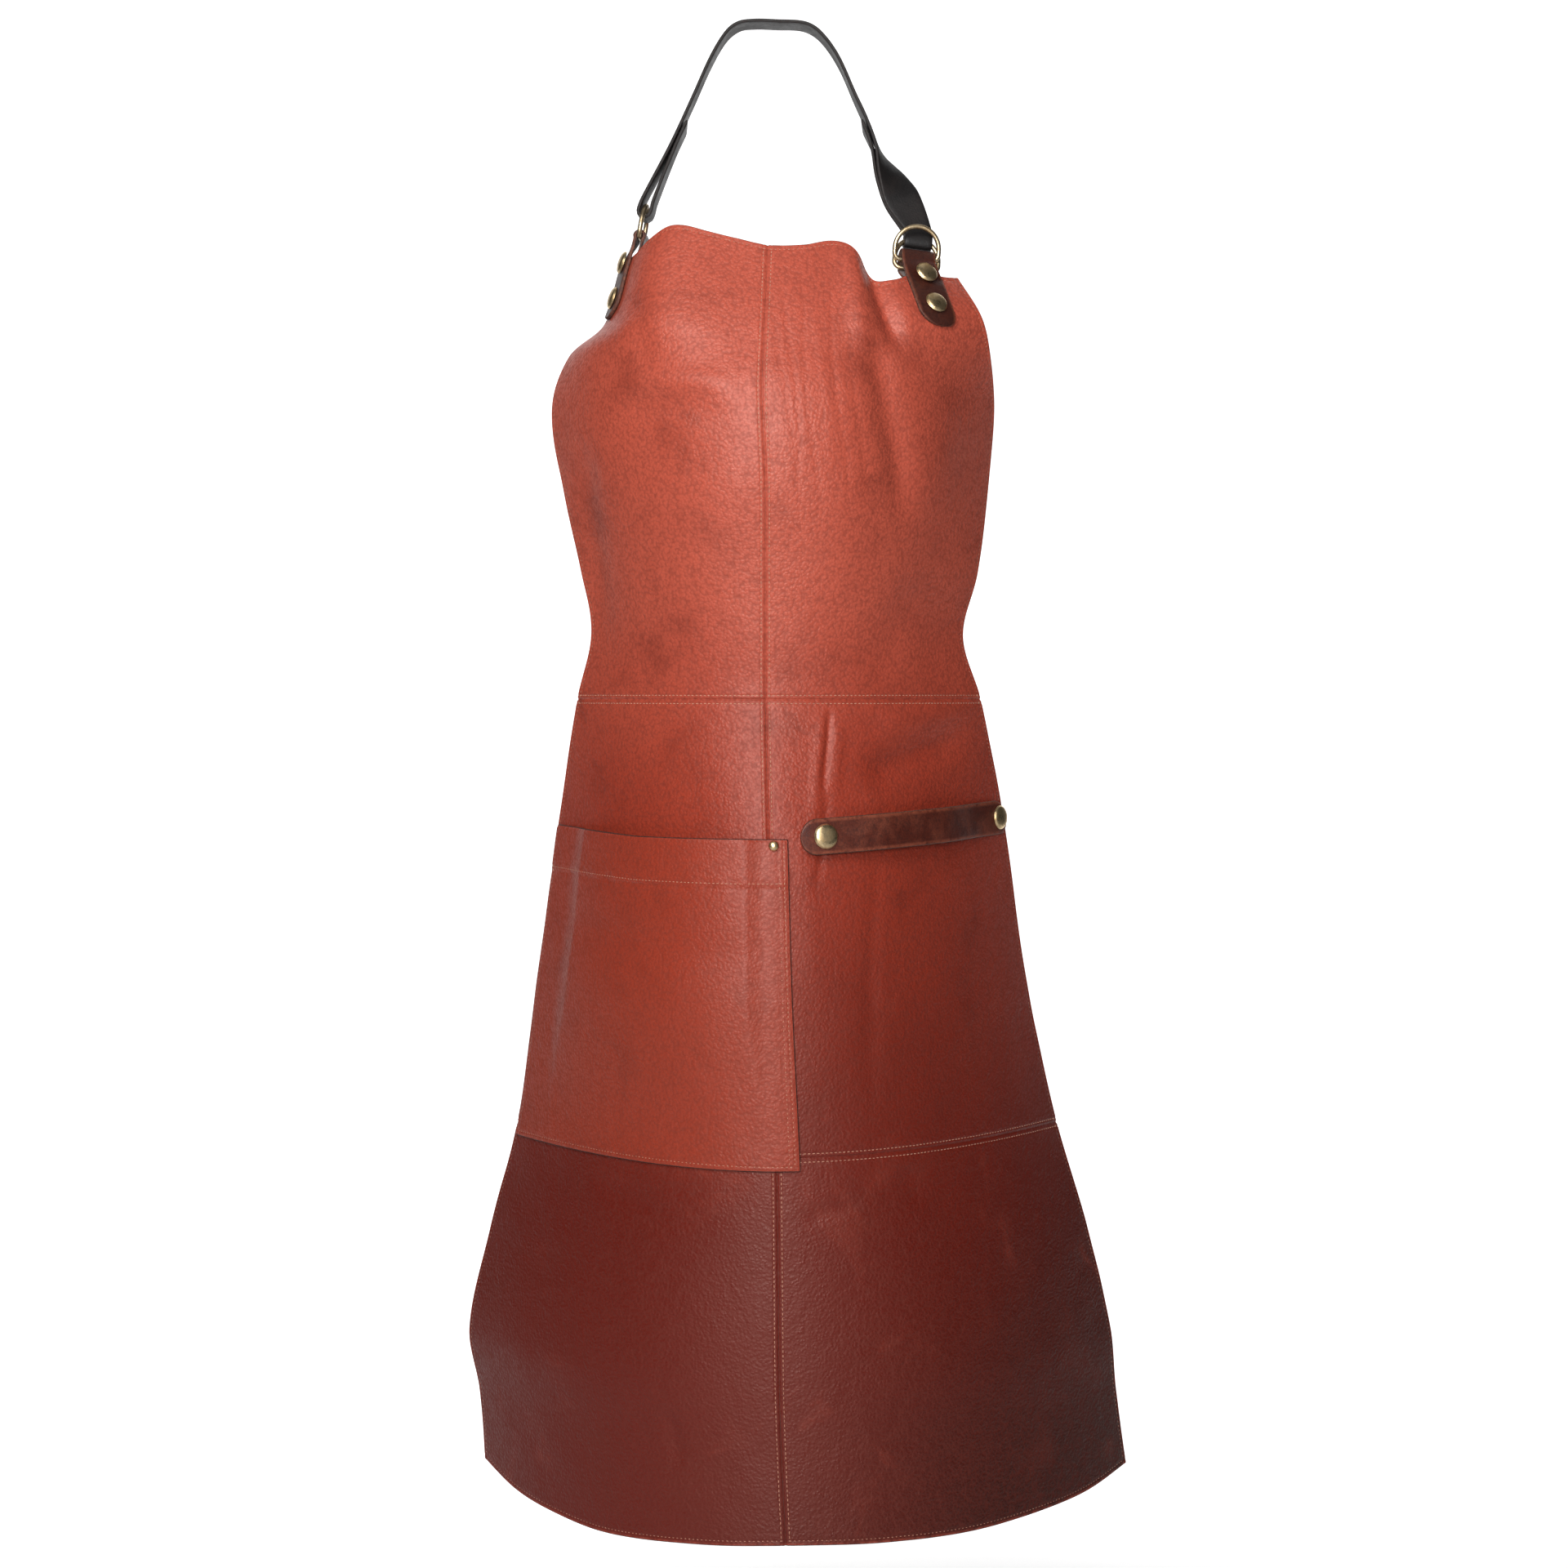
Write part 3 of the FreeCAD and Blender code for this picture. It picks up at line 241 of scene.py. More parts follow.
def sheet_mesh(name, outer, inner, materials, bulge=0.35):
    """A closed sheet between two grids of points, with rounded cut edges in the second material."""
    rows, columns = outer.shape[:2]
    count = rows * columns
    points = [outer.reshape(-1, 3), inner.reshape(-1, 3)]
    index = np.arange(count).reshape(rows, columns)
    quads = np.stack([index[:-1, :-1], index[:-1, 1:], index[1:, 1:], index[1:, :-1]], -1).reshape(-1, 4)
    faces = [quads, quads[:, ::-1] + count]
    kinds = [0] * len(quads) + [2 if len(materials) > 2 else 0] * len(quads)
    loop = ring_of(rows, columns)
    flat = np.array([index[place] for place in loop])
    inside = np.array([index[min(max(r, 1), rows - 2), min(max(c, 1), columns - 2)] for r, c in loop])
    outer_flat, inner_flat = points[0], points[1]
    away = unit(outer_flat[flat] - outer_flat[inside] + 1e-9)
    thick = np.linalg.norm(outer_flat[flat] - inner_flat[flat], axis=1, keepdims=True)
    rims = []
    for share, push in ((0.12, 0.55), (0.5, 1.0), (0.88, 0.55)):
        rims.append(outer_flat[flat] * (1 - share) + inner_flat[flat] * share + away * thick * bulge * push)
    points += rims
    size = len(flat)
    chain = [flat] + [2 * count + k * size + np.arange(size) for k in range(3)] + [flat + count]
    for first, second in zip(chain, chain[1:]):
        side = np.stack([np.roll(first, -1), first, second, np.roll(second, -1)], -1)
        faces.append(side)
        kinds += [1] * size
    return add_mesh(name, np.concatenate(points), np.concatenate(faces), materials, kinds)


def even_path(points, spacing, extras=()):
    """A smooth line through points at an even spacing, and other values carried along it."""
    points = np.array(points, float)
    places = np.concatenate([[0], np.cumsum(np.linalg.norm(np.diff(points, axis=0), axis=1))])
    wanted = np.linspace(0, places[-1], max(3, int(round(places[-1] / spacing)) + 1))
    results = []
    for values in (points, *[np.array(extra, float) for extra in extras]):
        table = np.concatenate([places[:, None], values.reshape(len(points), -1)], 1)
        results.append(smooth(table, wanted))
    return results


def thread(name, line, facing, pitch=3.0, length=2.1, radius=0.34, sunk=0.12):
    """A row of stitches along a line; facing gives the outward direction at each of its points."""
    line, facing = even_path(line, pitch, [facing])
    middles = (line[:-1] + line[1:]) / 2
    run = unit(line[1:] - line[:-1])
    out = unit((facing[:-1] + facing[1:]) / 2)
    side = unit(np.cross(run, out))
    out = np.cross(side, run)
    rings = [(-1.0, 0.35, -0.55), (-0.72, 0.85, 0.0), (0.0, 1.0, 0.28), (0.72, 0.85, 0.0), (1.0, 0.35, -0.55)]
    sides = 6
    template = []
    for along, thick, lift in rings:
        for k in range(sides):
            angle = 2 * math.pi * k / sides
            template.append((along * length / 2, math.cos(angle) * thick * radius,
                             (math.sin(angle) * thick + lift) * radius - sunk))
    template = np.array(template)
    points = (middles[:, None] + template[None, :, :1] * run[:, None] + template[None, :, 1:2] * side[:, None]
              + template[None, :, 2:] * out[:, None]).reshape(-1, 3)
    base = []
    for ring in range(len(rings) - 1):
        for k in range(sides):
            following = (k + 1) % sides
            base.append((ring * sides + k, ring * sides + following, (ring + 1) * sides + following,
                         (ring + 1) * sides + k))
    base = np.array(base)
    each = len(template)
    faces = (base[None] + (np.arange(len(middles)) * each)[:, None, None]).reshape(-1, 4).tolist()
    for start in range(0, len(middles) * each, each):
        faces.append(list(range(start + sides - 1, start - 1, -1)))
        faces.append(list(range(start + each - sides, start + each)))
    return add_mesh(name, points, faces, [THREAD])


def turned(name, outline, centre, axis, material, segments=56):
    """A turned part from an outline of (radius, height) round an axis."""
    axis = unit(np.asarray(axis, float))
    helper = np.array([0.0, 0.0, 1.0]) if abs(axis[2]) < 0.9 else np.array([1.0, 0.0, 0.0])
    first = unit(np.cross(helper, axis))
    second = np.cross(axis, first)
    angles = 2 * math.pi * np.arange(segments) / segments
    circle = np.cos(angles)[:, None] * first + np.sin(angles)[:, None] * second
    points, faces = [], []
    for radius, height in outline:
        points.append(np.asarray(centre) + circle * max(radius, 0.02) + axis * height)
    points = np.concatenate(points)
    count = len(outline)
    for k in range(count):
        following = (k + 1) % count
        if outline[k][0] < 0.05 and outline[following][0] < 0.05:
            continue
        for s in range(segments):
            t = (s + 1) % segments
            faces.append((k * segments + s, k * segments + t, following * segments + t, following * segments + s))
    closed = [k for k in range(count) if outline[k][0] < 0.05]
    if closed:
        first_end, last_end = min(closed), max(closed)
        faces.append([first_end * segments + s for s in range(segments)][::-1])
        faces.append([last_end * segments + s for s in range(segments)])
    piece = add_mesh(name, points, faces, [material])
    bpy.context.view_layer.objects.active = piece
    normals_outward(piece)
    return piece


def normals_outward(piece):
    import bmesh
    work = bmesh.new()
    work.from_mesh(piece.data)
    bmesh.ops.recalc_face_normals(work, faces=work.faces)
    work.to_mesh(piece.data)
    work.free()


def stand(piece, body, slot, *nodes):
    """Put a piece on its body, in the place of CAD nodes. Its slot, which names its finish, is not used."""
    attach(piece, body)
    if nodes:
        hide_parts(*nodes)
    return piece


# --- materials ---

def rgb(red, green, blue):
    """A linear colour from screen values of 0 to 255."""
    return tuple(v / 3294.6 if v <= 10.3 else ((v / 255 + 0.055) / 1.055) ** 2.4 for v in (red, green, blue)) + (1.0,)


class Nodes:
    """A short way to build one material's nodes."""

    def __init__(self, name, roughness=0.5, metallic=0.0, **sockets):
        self.material = bpy.data.materials.new(name)
        self.material.use_nodes = True
        self.tree = self.material.node_tree
        self.tree.nodes.clear()
        self.output = self.tree.nodes.new("ShaderNodeOutputMaterial")
        self.shader = self.tree.nodes.new("ShaderNodeBsdfPrincipled")
        self.link(self.shader, "BSDF", self.output, "Surface")
        self.shader.inputs["Roughness"].default_value = roughness
        self.shader.inputs["Metallic"].default_value = metallic
        for socket, value in sockets.items():
            self.shader.inputs[socket.replace("_", " ")].default_value = value
        self.place = self.tree.nodes.new("ShaderNodeTexCoord").outputs["Object"]

    def link(self, source, out, target, into):
        self.tree.links.new(source.outputs[out], target.inputs[into])

    def put(self, target, value):
        if isinstance(value, bpy.types.NodeSocket):
            self.tree.links.new(value, target)
        else:
            target.default_value = value

    def noise(self, scale, detail=3.0, rough=0.55, distort=0.0, place=None):
        node = self.tree.nodes.new("ShaderNodeTexNoise")
        node.inputs["Scale"].default_value = scale
        node.inputs["Detail"].default_value = detail
        node.inputs["Roughness"].default_value = rough
        node.inputs["Distortion"].default_value = distort
        self.tree.links.new(place or self.place, node.inputs["Vector"])
        return node.outputs["Fac"]

    def cells(self, scale, feature="F1", smoothness=0.4, place=None):
        node = self.tree.nodes.new("ShaderNodeTexVoronoi")
        node.feature = feature
        node.inputs["Scale"].default_value = scale
        if feature == "SMOOTH_F1":
            node.inputs["Smoothness"].default_value = smoothness
        self.tree.links.new(place or self.place, node.inputs["Vector"])
        return node.outputs["Distance"]

    def stretched(self, x, y, z):
        node = self.tree.nodes.new("ShaderNodeMapping")
        node.inputs["Scale"].default_value = (x, y, z)
        self.tree.links.new(self.place, node.inputs["Vector"])
        return node.outputs["Vector"]

    def warped(self, amount, scale):
        """The place, pushed about by a noise, so that cells aren't regular."""
        noise = self.tree.nodes.new("ShaderNodeTexNoise")
        noise.inputs["Scale"].default_value = scale
        self.tree.links.new(self.place, noise.inputs["Vector"])
        centred = self.tree.nodes.new("ShaderNodeVectorMath")
        centred.operation = "MULTIPLY_ADD"
        self.tree.links.new(noise.outputs["Color"], centred.inputs[0])
        centred.inputs[1].default_value = (amount,) * 3
        self.tree.links.new(self.place, centred.inputs[2])
        return centred.outputs["Vector"]

    def axis(self, name):
        node = self.tree.nodes.new("ShaderNodeSeparateXYZ")
        self.tree.links.new(self.place, node.inputs["Vector"])
        return node.outputs[name]

    def spread(self, value, low, high, to_low=0.0, to_high=1.0, kind="SMOOTHSTEP"):
        node = self.tree.nodes.new("ShaderNodeMapRange")
        node.interpolation_type = kind
        self.put(node.inputs["Value"], value)
        for socket, number in zip(("From Min", "From Max", "To Min", "To Max"), (low, high, to_low, to_high)):
            node.inputs[socket].default_value = number
        return node.outputs["Result"]

    def math(self, operation, first, second=0.0, third=0.0):
        node = self.tree.nodes.new("ShaderNodeMath")
        node.operation = operation
        for socket, value in zip(node.inputs, (first, second, third)):
            self.put(socket, value)
        return node.outputs["Value"]

    def mix(self, share, first, second, blend="MIX"):
        node = self.tree.nodes.new("ShaderNodeMix")
        node.data_type = "RGBA"
        node.blend_type = blend
        sockets = [s for s in node.inputs if s.type == "RGBA"]
        self.put(node.inputs[0], share)
        self.put(sockets[0], first)
        self.put(sockets[1], second)
        return [s for s in node.outputs if s.type == "RGBA"][0]

    def attribute(self, name):
        node = self.tree.nodes.new("ShaderNodeAttribute")
        node.attribute_name = name
        return node.outputs["Fac"]

    def bump(self, height, distance, strength=1.0, after=None):
        node = self.tree.nodes.new("ShaderNodeBump")
        node.inputs["Distance"].default_value = distance
        node.inputs["Strength"].default_value = strength
        self.tree.links.new(height, node.inputs["Height"])
        if after is not None:
            self.tree.links.new(after, node.inputs["Normal"])
        return node.outputs["Normal"]

    def finish(self, colour, roughness=None, normal=None):
        self.put(self.shader.inputs["Base Color"], colour)
        if roughness is not None:
            self.put(self.shader.inputs["Roughness"], roughness)
        if normal is not None:
            self.tree.links.new(normal, self.shader.inputs["Normal"])
        return self.material


def hide_leather(name, high, middle, low, corner, deep):
    """Pull-up cowhide: pebble grain, waxy sheen and worn lighter on its folds; darker towards the hem, partly its own
    dye and partly painted shade, with a painted shade at the lower right.
    """
    n = Nodes(name, Specular_IOR_Level=0.5, Coat_Weight=0.1, Coat_Roughness=0.36)
    n.shader.inputs["Specular Tint"].default_value = rgb(255, 226, 214)
    z, x = n.axis("Z"), n.axis("X")
    cloud = n.noise(5.5, 5.0, 0.6)
    patch = n.noise(24.0, 6.0, 0.62, 0.4)
    fleck = n.noise(160.0, 4.0, 0.6)
    # Top to hem the colour goes from high through middle to low: partly the hide's own darker dye lower down, partly
    # painted shade where the light falls off towards the hem.
    down = n.math("ADD", z, n.math("MULTIPLY", n.math("SUBTRACT", cloud, 0.5), 0.16))
    upper = n.mix(n.spread(down, -0.56, -0.38), middle, high)
    tone = n.mix(n.spread(down, -0.84, -0.52), low, upper)
    # Painted shade: towards the lower right the hide is darkened to the corner colour, where the light from the left
    # falls off.
    painted_shade_slant = n.math("ADD", n.math("MULTIPLY", x, 0.7), n.math("MULTIPLY", down, -0.6))
    tone = n.mix(n.spread(painted_shade_slant, 0.52, 0.78), tone, corner)
    tone = n.mix(n.spread(patch, 0.5, 0.78, 0.0, 0.42), tone, deep)
    tone = n.mix(n.spread(n.noise(11.0, 6.0, 0.66, 0.8), 0.56, 0.8, 0.0, 0.28), tone, high)
    pebble_place = n.warped(0.0011, 420.0)
    pebble = n.cells(470.0, "SMOOTH_F1", 0.3, pebble_place)
    fine = n.cells(1500.0, "SMOOTH_F1", 0.5)
    tone = n.mix(n.spread(pebble, 0.34, 0.8, 0.0, 0.34), tone, deep)
    tone = n.mix(n.spread(fleck, 0.42, 0.7, 0.0, 0.16), tone, deep)
    worn_edge = n.attribute("wear")
    tone = n.mix(n.math("MULTIPLY", worn_edge, n.spread(fleck, 0.3, 0.62)), tone, high)
    wrinkle = n.noise(46.0, 4.0, 0.6, 1.2)
    grain = n.math("ADD", n.math("MULTIPLY", n.math("SUBTRACT", 1.0, pebble), 1.0),
                   n.math("MULTIPLY", n.math("SUBTRACT", 1.0, fine), 0.3))
    grain = n.math("ADD", grain, n.math("MULTIPLY", n.noise(900.0, 2.0), 0.3))
    normal = n.bump(wrinkle, 0.0013, 0.5)
    normal = n.bump(grain, 0.00042, 0.8, normal)
    rough = n.math("ADD", n.spread(cloud, 0.3, 0.7, 0.46, 0.38), n.spread(fleck, 0.3, 0.7, 0.0, 0.10))
    rough = n.math("ADD", rough, n.spread(pebble, 0.3, 0.8, -0.03, 0.10))
    return n.finish(tone, rough, normal)


def strap_leather(name, base, light, deep, grain_scale=800.0, roughness=0.42, mottle=0.35):
    n = Nodes(name, Specular_IOR_Level=0.35)
    patch = n.noise(38.0, 5.0, 0.62, 0.5)
    fleck = n.noise(260.0, 4.0, 0.6)
    pebble = n.cells(grain_scale, "SMOOTH_F1", 0.4, n.warped(0.0009, 520.0))
    tone = n.mix(n.spread(patch, 0.42, 0.72, 0.0, mottle), base, light)
    tone = n.mix(n.spread(fleck, 0.45, 0.72, 0.0, 0.35), tone, deep)
    tone = n.mix(n.spread(pebble, 0.35, 0.85, 0.0, 0.4), tone, deep)
    tone = n.mix(n.math("MULTIPLY", n.attribute("wear"), n.spread(fleck, 0.25, 0.6)), tone, light)
    normal = n.bump(n.noise(70.0, 3.0), 0.0006, 0.4)
    normal = n.bump(n.math("SUBTRACT", 1.0, pebble), 0.00016, 0.6, normal)
    rough = n.math("ADD", n.spread(patch, 0.3, 0.7, roughness - 0.05, roughness + 0.08),
                   n.spread(fleck, 0.3, 0.7, 0.0, 0.08))
    return n.finish(tone, rough, normal)


def cut_edge(name, base, dark):
    """The fibrous cut edge of leather, burnished in places."""
    n = Nodes(name)
    fibres = n.noise(1.0, 5.0, 0.7, 0.6, n.stretched(900.0, 900.0, 420.0))
    tone = n.mix(n.spread(fibres, 0.35, 0.68), dark, base)
    tone = n.mix(n.spread(n.noise(60.0), 0.45, 0.7, 0.0, 0.6), tone, dark)
    return n.finish(tone, n.spread(fibres, 0.3, 0.7, 0.62, 0.85), n.bump(fibres, 0.0003, 0.7))


def flesh_side(name, base, dark):
    """The napped inner side of the hide."""
    n = Nodes(name, Sheen_Weight=0.25, Sheen_Roughness=0.6)
    nap = n.noise(1400.0, 4.0, 0.7)
    brushed = n.noise(1.0, 5.0, 0.65, 0.8, n.stretched(60.0, 60.0, 22.0))
    tone = n.mix(n.spread(brushed, 0.3, 0.72), dark, base)
    tone = n.mix(n.spread(nap, 0.4, 0.75, 0.0, 0.3), tone, dark)
    return n.finish(tone, n.spread(nap, 0.3, 0.7, 0.78, 0.95), n.bump(nap, 0.00025, 0.6))


def metal(name, bright, tarnish, dark, roughness=0.3):
    """Plated metal with tarnish in clouds, fine scratches and a few pits."""
    n = Nodes(name, metallic=1.0)
    cloud = n.noise(180.0, 5.0, 0.65, 0.4)
    fine = n.noise(1300.0, 3.0, 0.6)
    scratch = n.noise(1.0, 3.0, 0.7, 0.2, n.stretched(500.0, 4200.0, 900.0))
    tone = n.mix(n.spread(cloud, 0.4, 0.72, 0.0, 0.75), bright, tarnish)
    tone = n.mix(n.spread(fine, 0.6, 0.8, 0.0, 0.35), tone, dark)
    rough = n.math("ADD", n.spread(cloud, 0.3, 0.7, roughness - 0.05, roughness + 0.14),
                   n.spread(scratch, 0.45, 0.75, 0.0, 0.12))
    normal = n.bump(scratch, 0.00003, 0.5)
    return n.finish(tone, rough, n.bump(fine, 0.00005, 0.6, normal))


def thread_material():
    n = Nodes("waxed_thread", Sheen_Weight=0.2, Sheen_Roughness=0.5)
    ply = n.tree.nodes.new("ShaderNodeTexWave")
    ply.wave_type = "BANDS"
    ply.bands_direction = "DIAGONAL"
    ply.inputs["Scale"].default_value = 900.0
    ply.inputs["Distortion"].default_value = 1.2
    n.tree.links.new(n.place, ply.inputs["Vector"])
    tone = n.mix(n.spread(ply.outputs["Fac"], 0.2, 0.8), rgb(150, 92, 70), rgb(206, 150, 122))
    tone = n.mix(n.spread(n.noise(30.0, 4.0), 0.45, 0.72, 0.0, 0.55), tone, rgb(134, 74, 54))
    return n.finish(tone, 0.62, n.bump(ply.outputs["Fac"], 0.00012, 0.7))


# Each hide's fourth colour is a painted shade for its lower right; its first three colours darken towards the hem
# partly in the hide's own dye and partly as painted shade.
HIDE_FACE = hide_leather("cognac_hide", rgb(174, 76, 57), rgb(146, 50, 32), rgb(94, 19, 8), rgb(46, 7, 2),
                         rgb(92, 27, 16))
POCKET_FACE = hide_leather("pocket_hide", rgb(150, 54, 35), rgb(146, 52, 34), rgb(142, 50, 32), rgb(80, 22, 11),
                           rgb(104, 34, 20))
HIDE_EDGE = cut_edge("hide_cut_edge", rgb(92, 46, 34), rgb(40, 18, 14))
HIDE_BACK = flesh_side("hide_flesh_side", rgb(150, 88, 66), rgb(104, 58, 44))
TAB_FACE = strap_leather("tab_leather", rgb(60, 26, 18), rgb(104, 54, 37), rgb(30, 12, 9), mottle=0.35)
TOWEL_FACE = strap_leather("towel_strap_leather", rgb(76, 30, 20), rgb(124, 62, 43), rgb(40, 15, 10), mottle=0.6)
BLACK_FACE = strap_leather("black_strap_leather", rgb(20, 17, 17), rgb(44, 34, 31), rgb(9, 8, 8), 900.0, 0.5)
STRAP_EDGE = cut_edge("strap_cut_edge", rgb(120, 72, 52), rgb(52, 26, 19))
BLACK_EDGE = cut_edge("black_cut_edge", rgb(46, 38, 35), rgb(18, 15, 14))
STRAP_BACK = flesh_side("strap_flesh_side", rgb(96, 62, 48), rgb(58, 36, 28))
RING_METAL = metal("antique_brass_ring", rgb(206, 186, 152), rgb(150, 124, 88), rgb(70, 54, 38), 0.3)
CAP_METAL = metal("antique_brass_cap", rgb(222, 196, 152), rgb(166, 132, 88), rgb(86, 62, 40), 0.3)
SLIDE_METAL = metal("dark_brass_slide", rgb(170, 148, 112), rgb(108, 88, 62), rgb(50, 38, 28), 0.34)
THREAD = thread_material()


# --- grids over the hide ---

NEAR = np.array([0.0, 0.25, 0.6, 1.0, 1.5, 2.0, 2.4, 2.7, 3.0, 3.4, 3.9, 4.8, 6.2, 8.0])


def spaced(length, count):
    """Distances from 0 to a length, closest together near both ends."""
    middle = np.linspace(NEAR[-1], length - NEAR[-1], count)
    return np.concatenate([NEAR, middle[1:-1], length - NEAR[::-1]])


def share_out(low, high, columns, row_points):
    """Places from low to high that lie spaced() apart along the line row_points(places)."""
    fine = np.linspace(low, high, 301)
    points = row_points(fine)
    places = np.concatenate([[0], np.cumsum(np.linalg.norm(np.diff(points, axis=0), axis=1))])
    distances = spaced(places[-1], columns)
    return np.interp(distances, places, fine), distances, places[-1]


def set_wear(piece, values):
    """How rubbed a piece is at each point, from 0 to 1, for its material."""
    layer = piece.data.attributes.new("wear", "FLOAT", "POINT")
    count = len(piece.data.vertices)
    full = np.zeros(count, np.float32)
    full[:min(count, len(values))] = np.asarray(values, np.float32)[:count]
    layer.data.foreach_set("value", full)


def hide_sheet(name, low, high, columns, rows, place, lift, dips, materials, free_edges, thickness=HIDE):
    """A sheet of hide over the form; free_edges tells which of its four edges are rubbed.

    place(across, share) is the height of a point, lift(across, height, share) its distance from the form, and
    dips(left, right, down, up) what its seams and edges take off, from the distances to the four of them."""
    points, normals, wear = [], [], []
    tall = abs(place(np.array(0.5 * (low + high)), 1.0) - place(np.array(0.5 * (low + high)), 0.0))
    heights = spaced(float(tall), rows)
    for height in heights:
        share = height / float(tall)
        across, distances, length = share_out(low, high, columns, lambda a: worn(a, place(a, share)))
        z = place(across, share)
        reach_up = np.abs(place(across, 1.0) - z)
        reach_down = np.abs(z - place(across, 0.0))
        base = worn(across, z)
        total = (lift(across, z, share) + relief(base[:, 0], z)
                 + dips(distances, length - distances, reach_down, reach_up))
        normal = outward(across, z)
        points.append(base + normal * total[:, None])
        normals.append(normal)
        free = [d for d, f in zip((distances, length - distances, reach_down, reach_up), free_edges) if f]
        wear.append(np.exp(-((np.minimum.reduce(free) / 1.0) ** 2)) * 0.55)
    outer = np.array(points)
    inner = outer - np.array(normals) * thickness
    piece = sheet_mesh(name, outer, inner, materials)
    set_wear(piece, np.array(wear).reshape(-1))
    return piece


def none(across, height, share):
    return 0.0 * across


def panel(name, side, low, high, rows, columns, dips, materials, free_edges):
    edge = side * 1.0
    start, end = (0.0006, edge) if side > 0 else (edge, -0.0006)
    return hide_sheet(name, start, end, columns, rows,
                      lambda a, share: low(a) + share * (high(a) - low(a)), none, dips, materials, free_edges)


def level(height):
    return lambda across: height + 0.0 * across


def panel_dips(side, top, bottom):
    """Seams at the centre and, where top or bottom is "seam", there too; free edges elsewhere."""
    def dips(left, right, down, up):
        centre, outer = (left, right) if side > 0 else (right, left)
        total = seam_dip(centre) + furrow(outer)
        total = total + (seam_dip(up) if top == "seam" else furrow(up))
        return total + (seam_dip(down) if bottom == "seam" else furrow(down))
    return dips


HIDE_MATERIALS = [HIDE_FACE, HIDE_EDGE, HIDE_BACK]
FLAT = {"bib_panel_left": (0.20, 0.33, 0.0554), "bib_panel_right": (0.215, 0.32, 0.0554),
        "waist_panel_left": (0.25, 0.305, 0.0653), "waist_panel_right": (0.26, 0.31, 0.0692),
        "skirt_panel_left": (0.28, 0.26, 0.0686), "skirt_panel_right": (0.295, 0.255, 0.0719)}
PANELS = [("bib_panel_left", -1, level(WAIST_SEAM), top_height, 150, 90, "edge", "seam"),
          ("bib_panel_right", 1, level(WAIST_SEAM), top_height, 150, 110, "edge", "seam"),
          ("waist_panel_left", -1, level(SKIRT_SEAM), level(WAIST_SEAM), 110, 80, "seam", "seam"),
          ("waist_panel_right", 1, level(SKIRT_SEAM), level(WAIST_SEAM), 130, 100, "seam", "seam"),
          ("skirt_panel_left", -1, hem_height, level(SKIRT_SEAM), 100, 90, "seam", "edge"),
          ("skirt_panel_right", 1, hem_height, level(SKIRT_SEAM), 100, 90, "seam", "edge")]
for name, side, low, high, rows, columns, top, bottom in PANELS:
    free_edges = (side < 0, side > 0, bottom == "edge", top == "edge")
    piece = panel(name + "_hide", side, low, high, rows, columns, panel_dips(side, top, bottom),
                        HIDE_MATERIALS, free_edges)
    stand(piece, "apron", "hide", name)
    wide, long, area = FLAT[name]


# --- the pocket ---

POCKET_TOP, POCKET_BOTTOM, POCKET_ROOM = -555.0, -769.5, 8.5
POCKET_INNER, POCKET_OUTER, CUFF = float(across_at(9.0, POCKET_TOP)), -0.985, 30.0


def pocket_top(across):
    return POCKET_TOP + 9.0 * np.maximum(0.0, -across - 0.55)


def pocket_gap(across, rise):
    seam_side = np.minimum(np.abs(across - POCKET_INNER), np.abs(across - POCKET_OUTER)) - 0.09
    return LINING + 0.35 + POCKET_ROOM * ease(seam_side / 0.17) * ease((rise - 0.03) / 0.3)


def pocket_height(across, share):
    return POCKET_BOTTOM + share * (pocket_top(across) - POCKET_BOTTOM)


def pocket_lift(across, height, share):
    """The pocket bellies out, sags in soft folds below its mouth, and has a thicker turned cuff."""
    across_share = (across - POCKET_OUTER) / (POCKET_INNER - POCKET_OUTER)
    down = (1 - share) * (POCKET_TOP - POCKET_BOTTOM)
    cuff = 0.55 * ease((CUFF + 1.2 - down) / 1.6) - 0.35 * np.exp(-(((down - CUFF - 0.6) / 0.9) ** 2))
    sag = -1.3 * np.sin(math.pi * across_share) * np.exp(-(((down - 62.0 - 18.0 * across_share) / 15.0) ** 2))
    sag = sag + 0.9 * np.sin(math.pi * across_share) * np.exp(-(((down - 105.0 + 20.0 * across_share) / 22.0) ** 2))
    pucker = 0.22 * np.sin(across_share * 61.0 + 1.5 * np.sin(down / 8.0)) * np.exp(-((down - CUFF) / 5.0) ** 2)
    soft = (POCKET_ROOM - 1.5) * np.sin(math.pi * across_share) ** 0.9 * ease((share - 0.03) / 0.5)
    gap = LINING + 0.35 + np.minimum(soft, pocket_gap(across, share) - LINING - 0.35)
    return gap + HIDE + cuff + sag + pucker


def pocket_dips(left, right, down, up):
    rolled = -0.55 * np.exp(-((up / 1.1) ** 2))
    seam = -0.35 * np.exp(-((right / 1.2) ** 2)) - 0.35 * np.exp(-((left / 1.2) ** 2)) - 0.35 * np.exp(
        -((down / 1.2) ** 2))
    rows = furrow(down) + furrow(right) + furrow(right - 3.2) + furrow(left)
    cuff_row = -0.28 * np.exp(-(((up - CUFF + 1.6) / 0.7) ** 2))
    return rolled + seam + rows + cuff_row


pocket_piece = hide_sheet("pocket_hide_sheet", POCKET_OUTER, POCKET_INNER, 110, 130, pocket_height,
                                       pocket_lift, pocket_dips, [POCKET_FACE, HIDE_EDGE, HIDE_BACK],
                                       (False, True, True, True))
stand(pocket_piece, "apron", "hide", "pocket")


# --- stitching ---

def form_line(places, lift=0.0, extra=None):
    """Points and directions on the hide along places (across, height)."""
    places = np.array(places, float)
    points = skin(places[:, 0], places[:, 1], lift if extra is None else lift + extra)
    return points, outward(places[:, 0], places[:, 1])


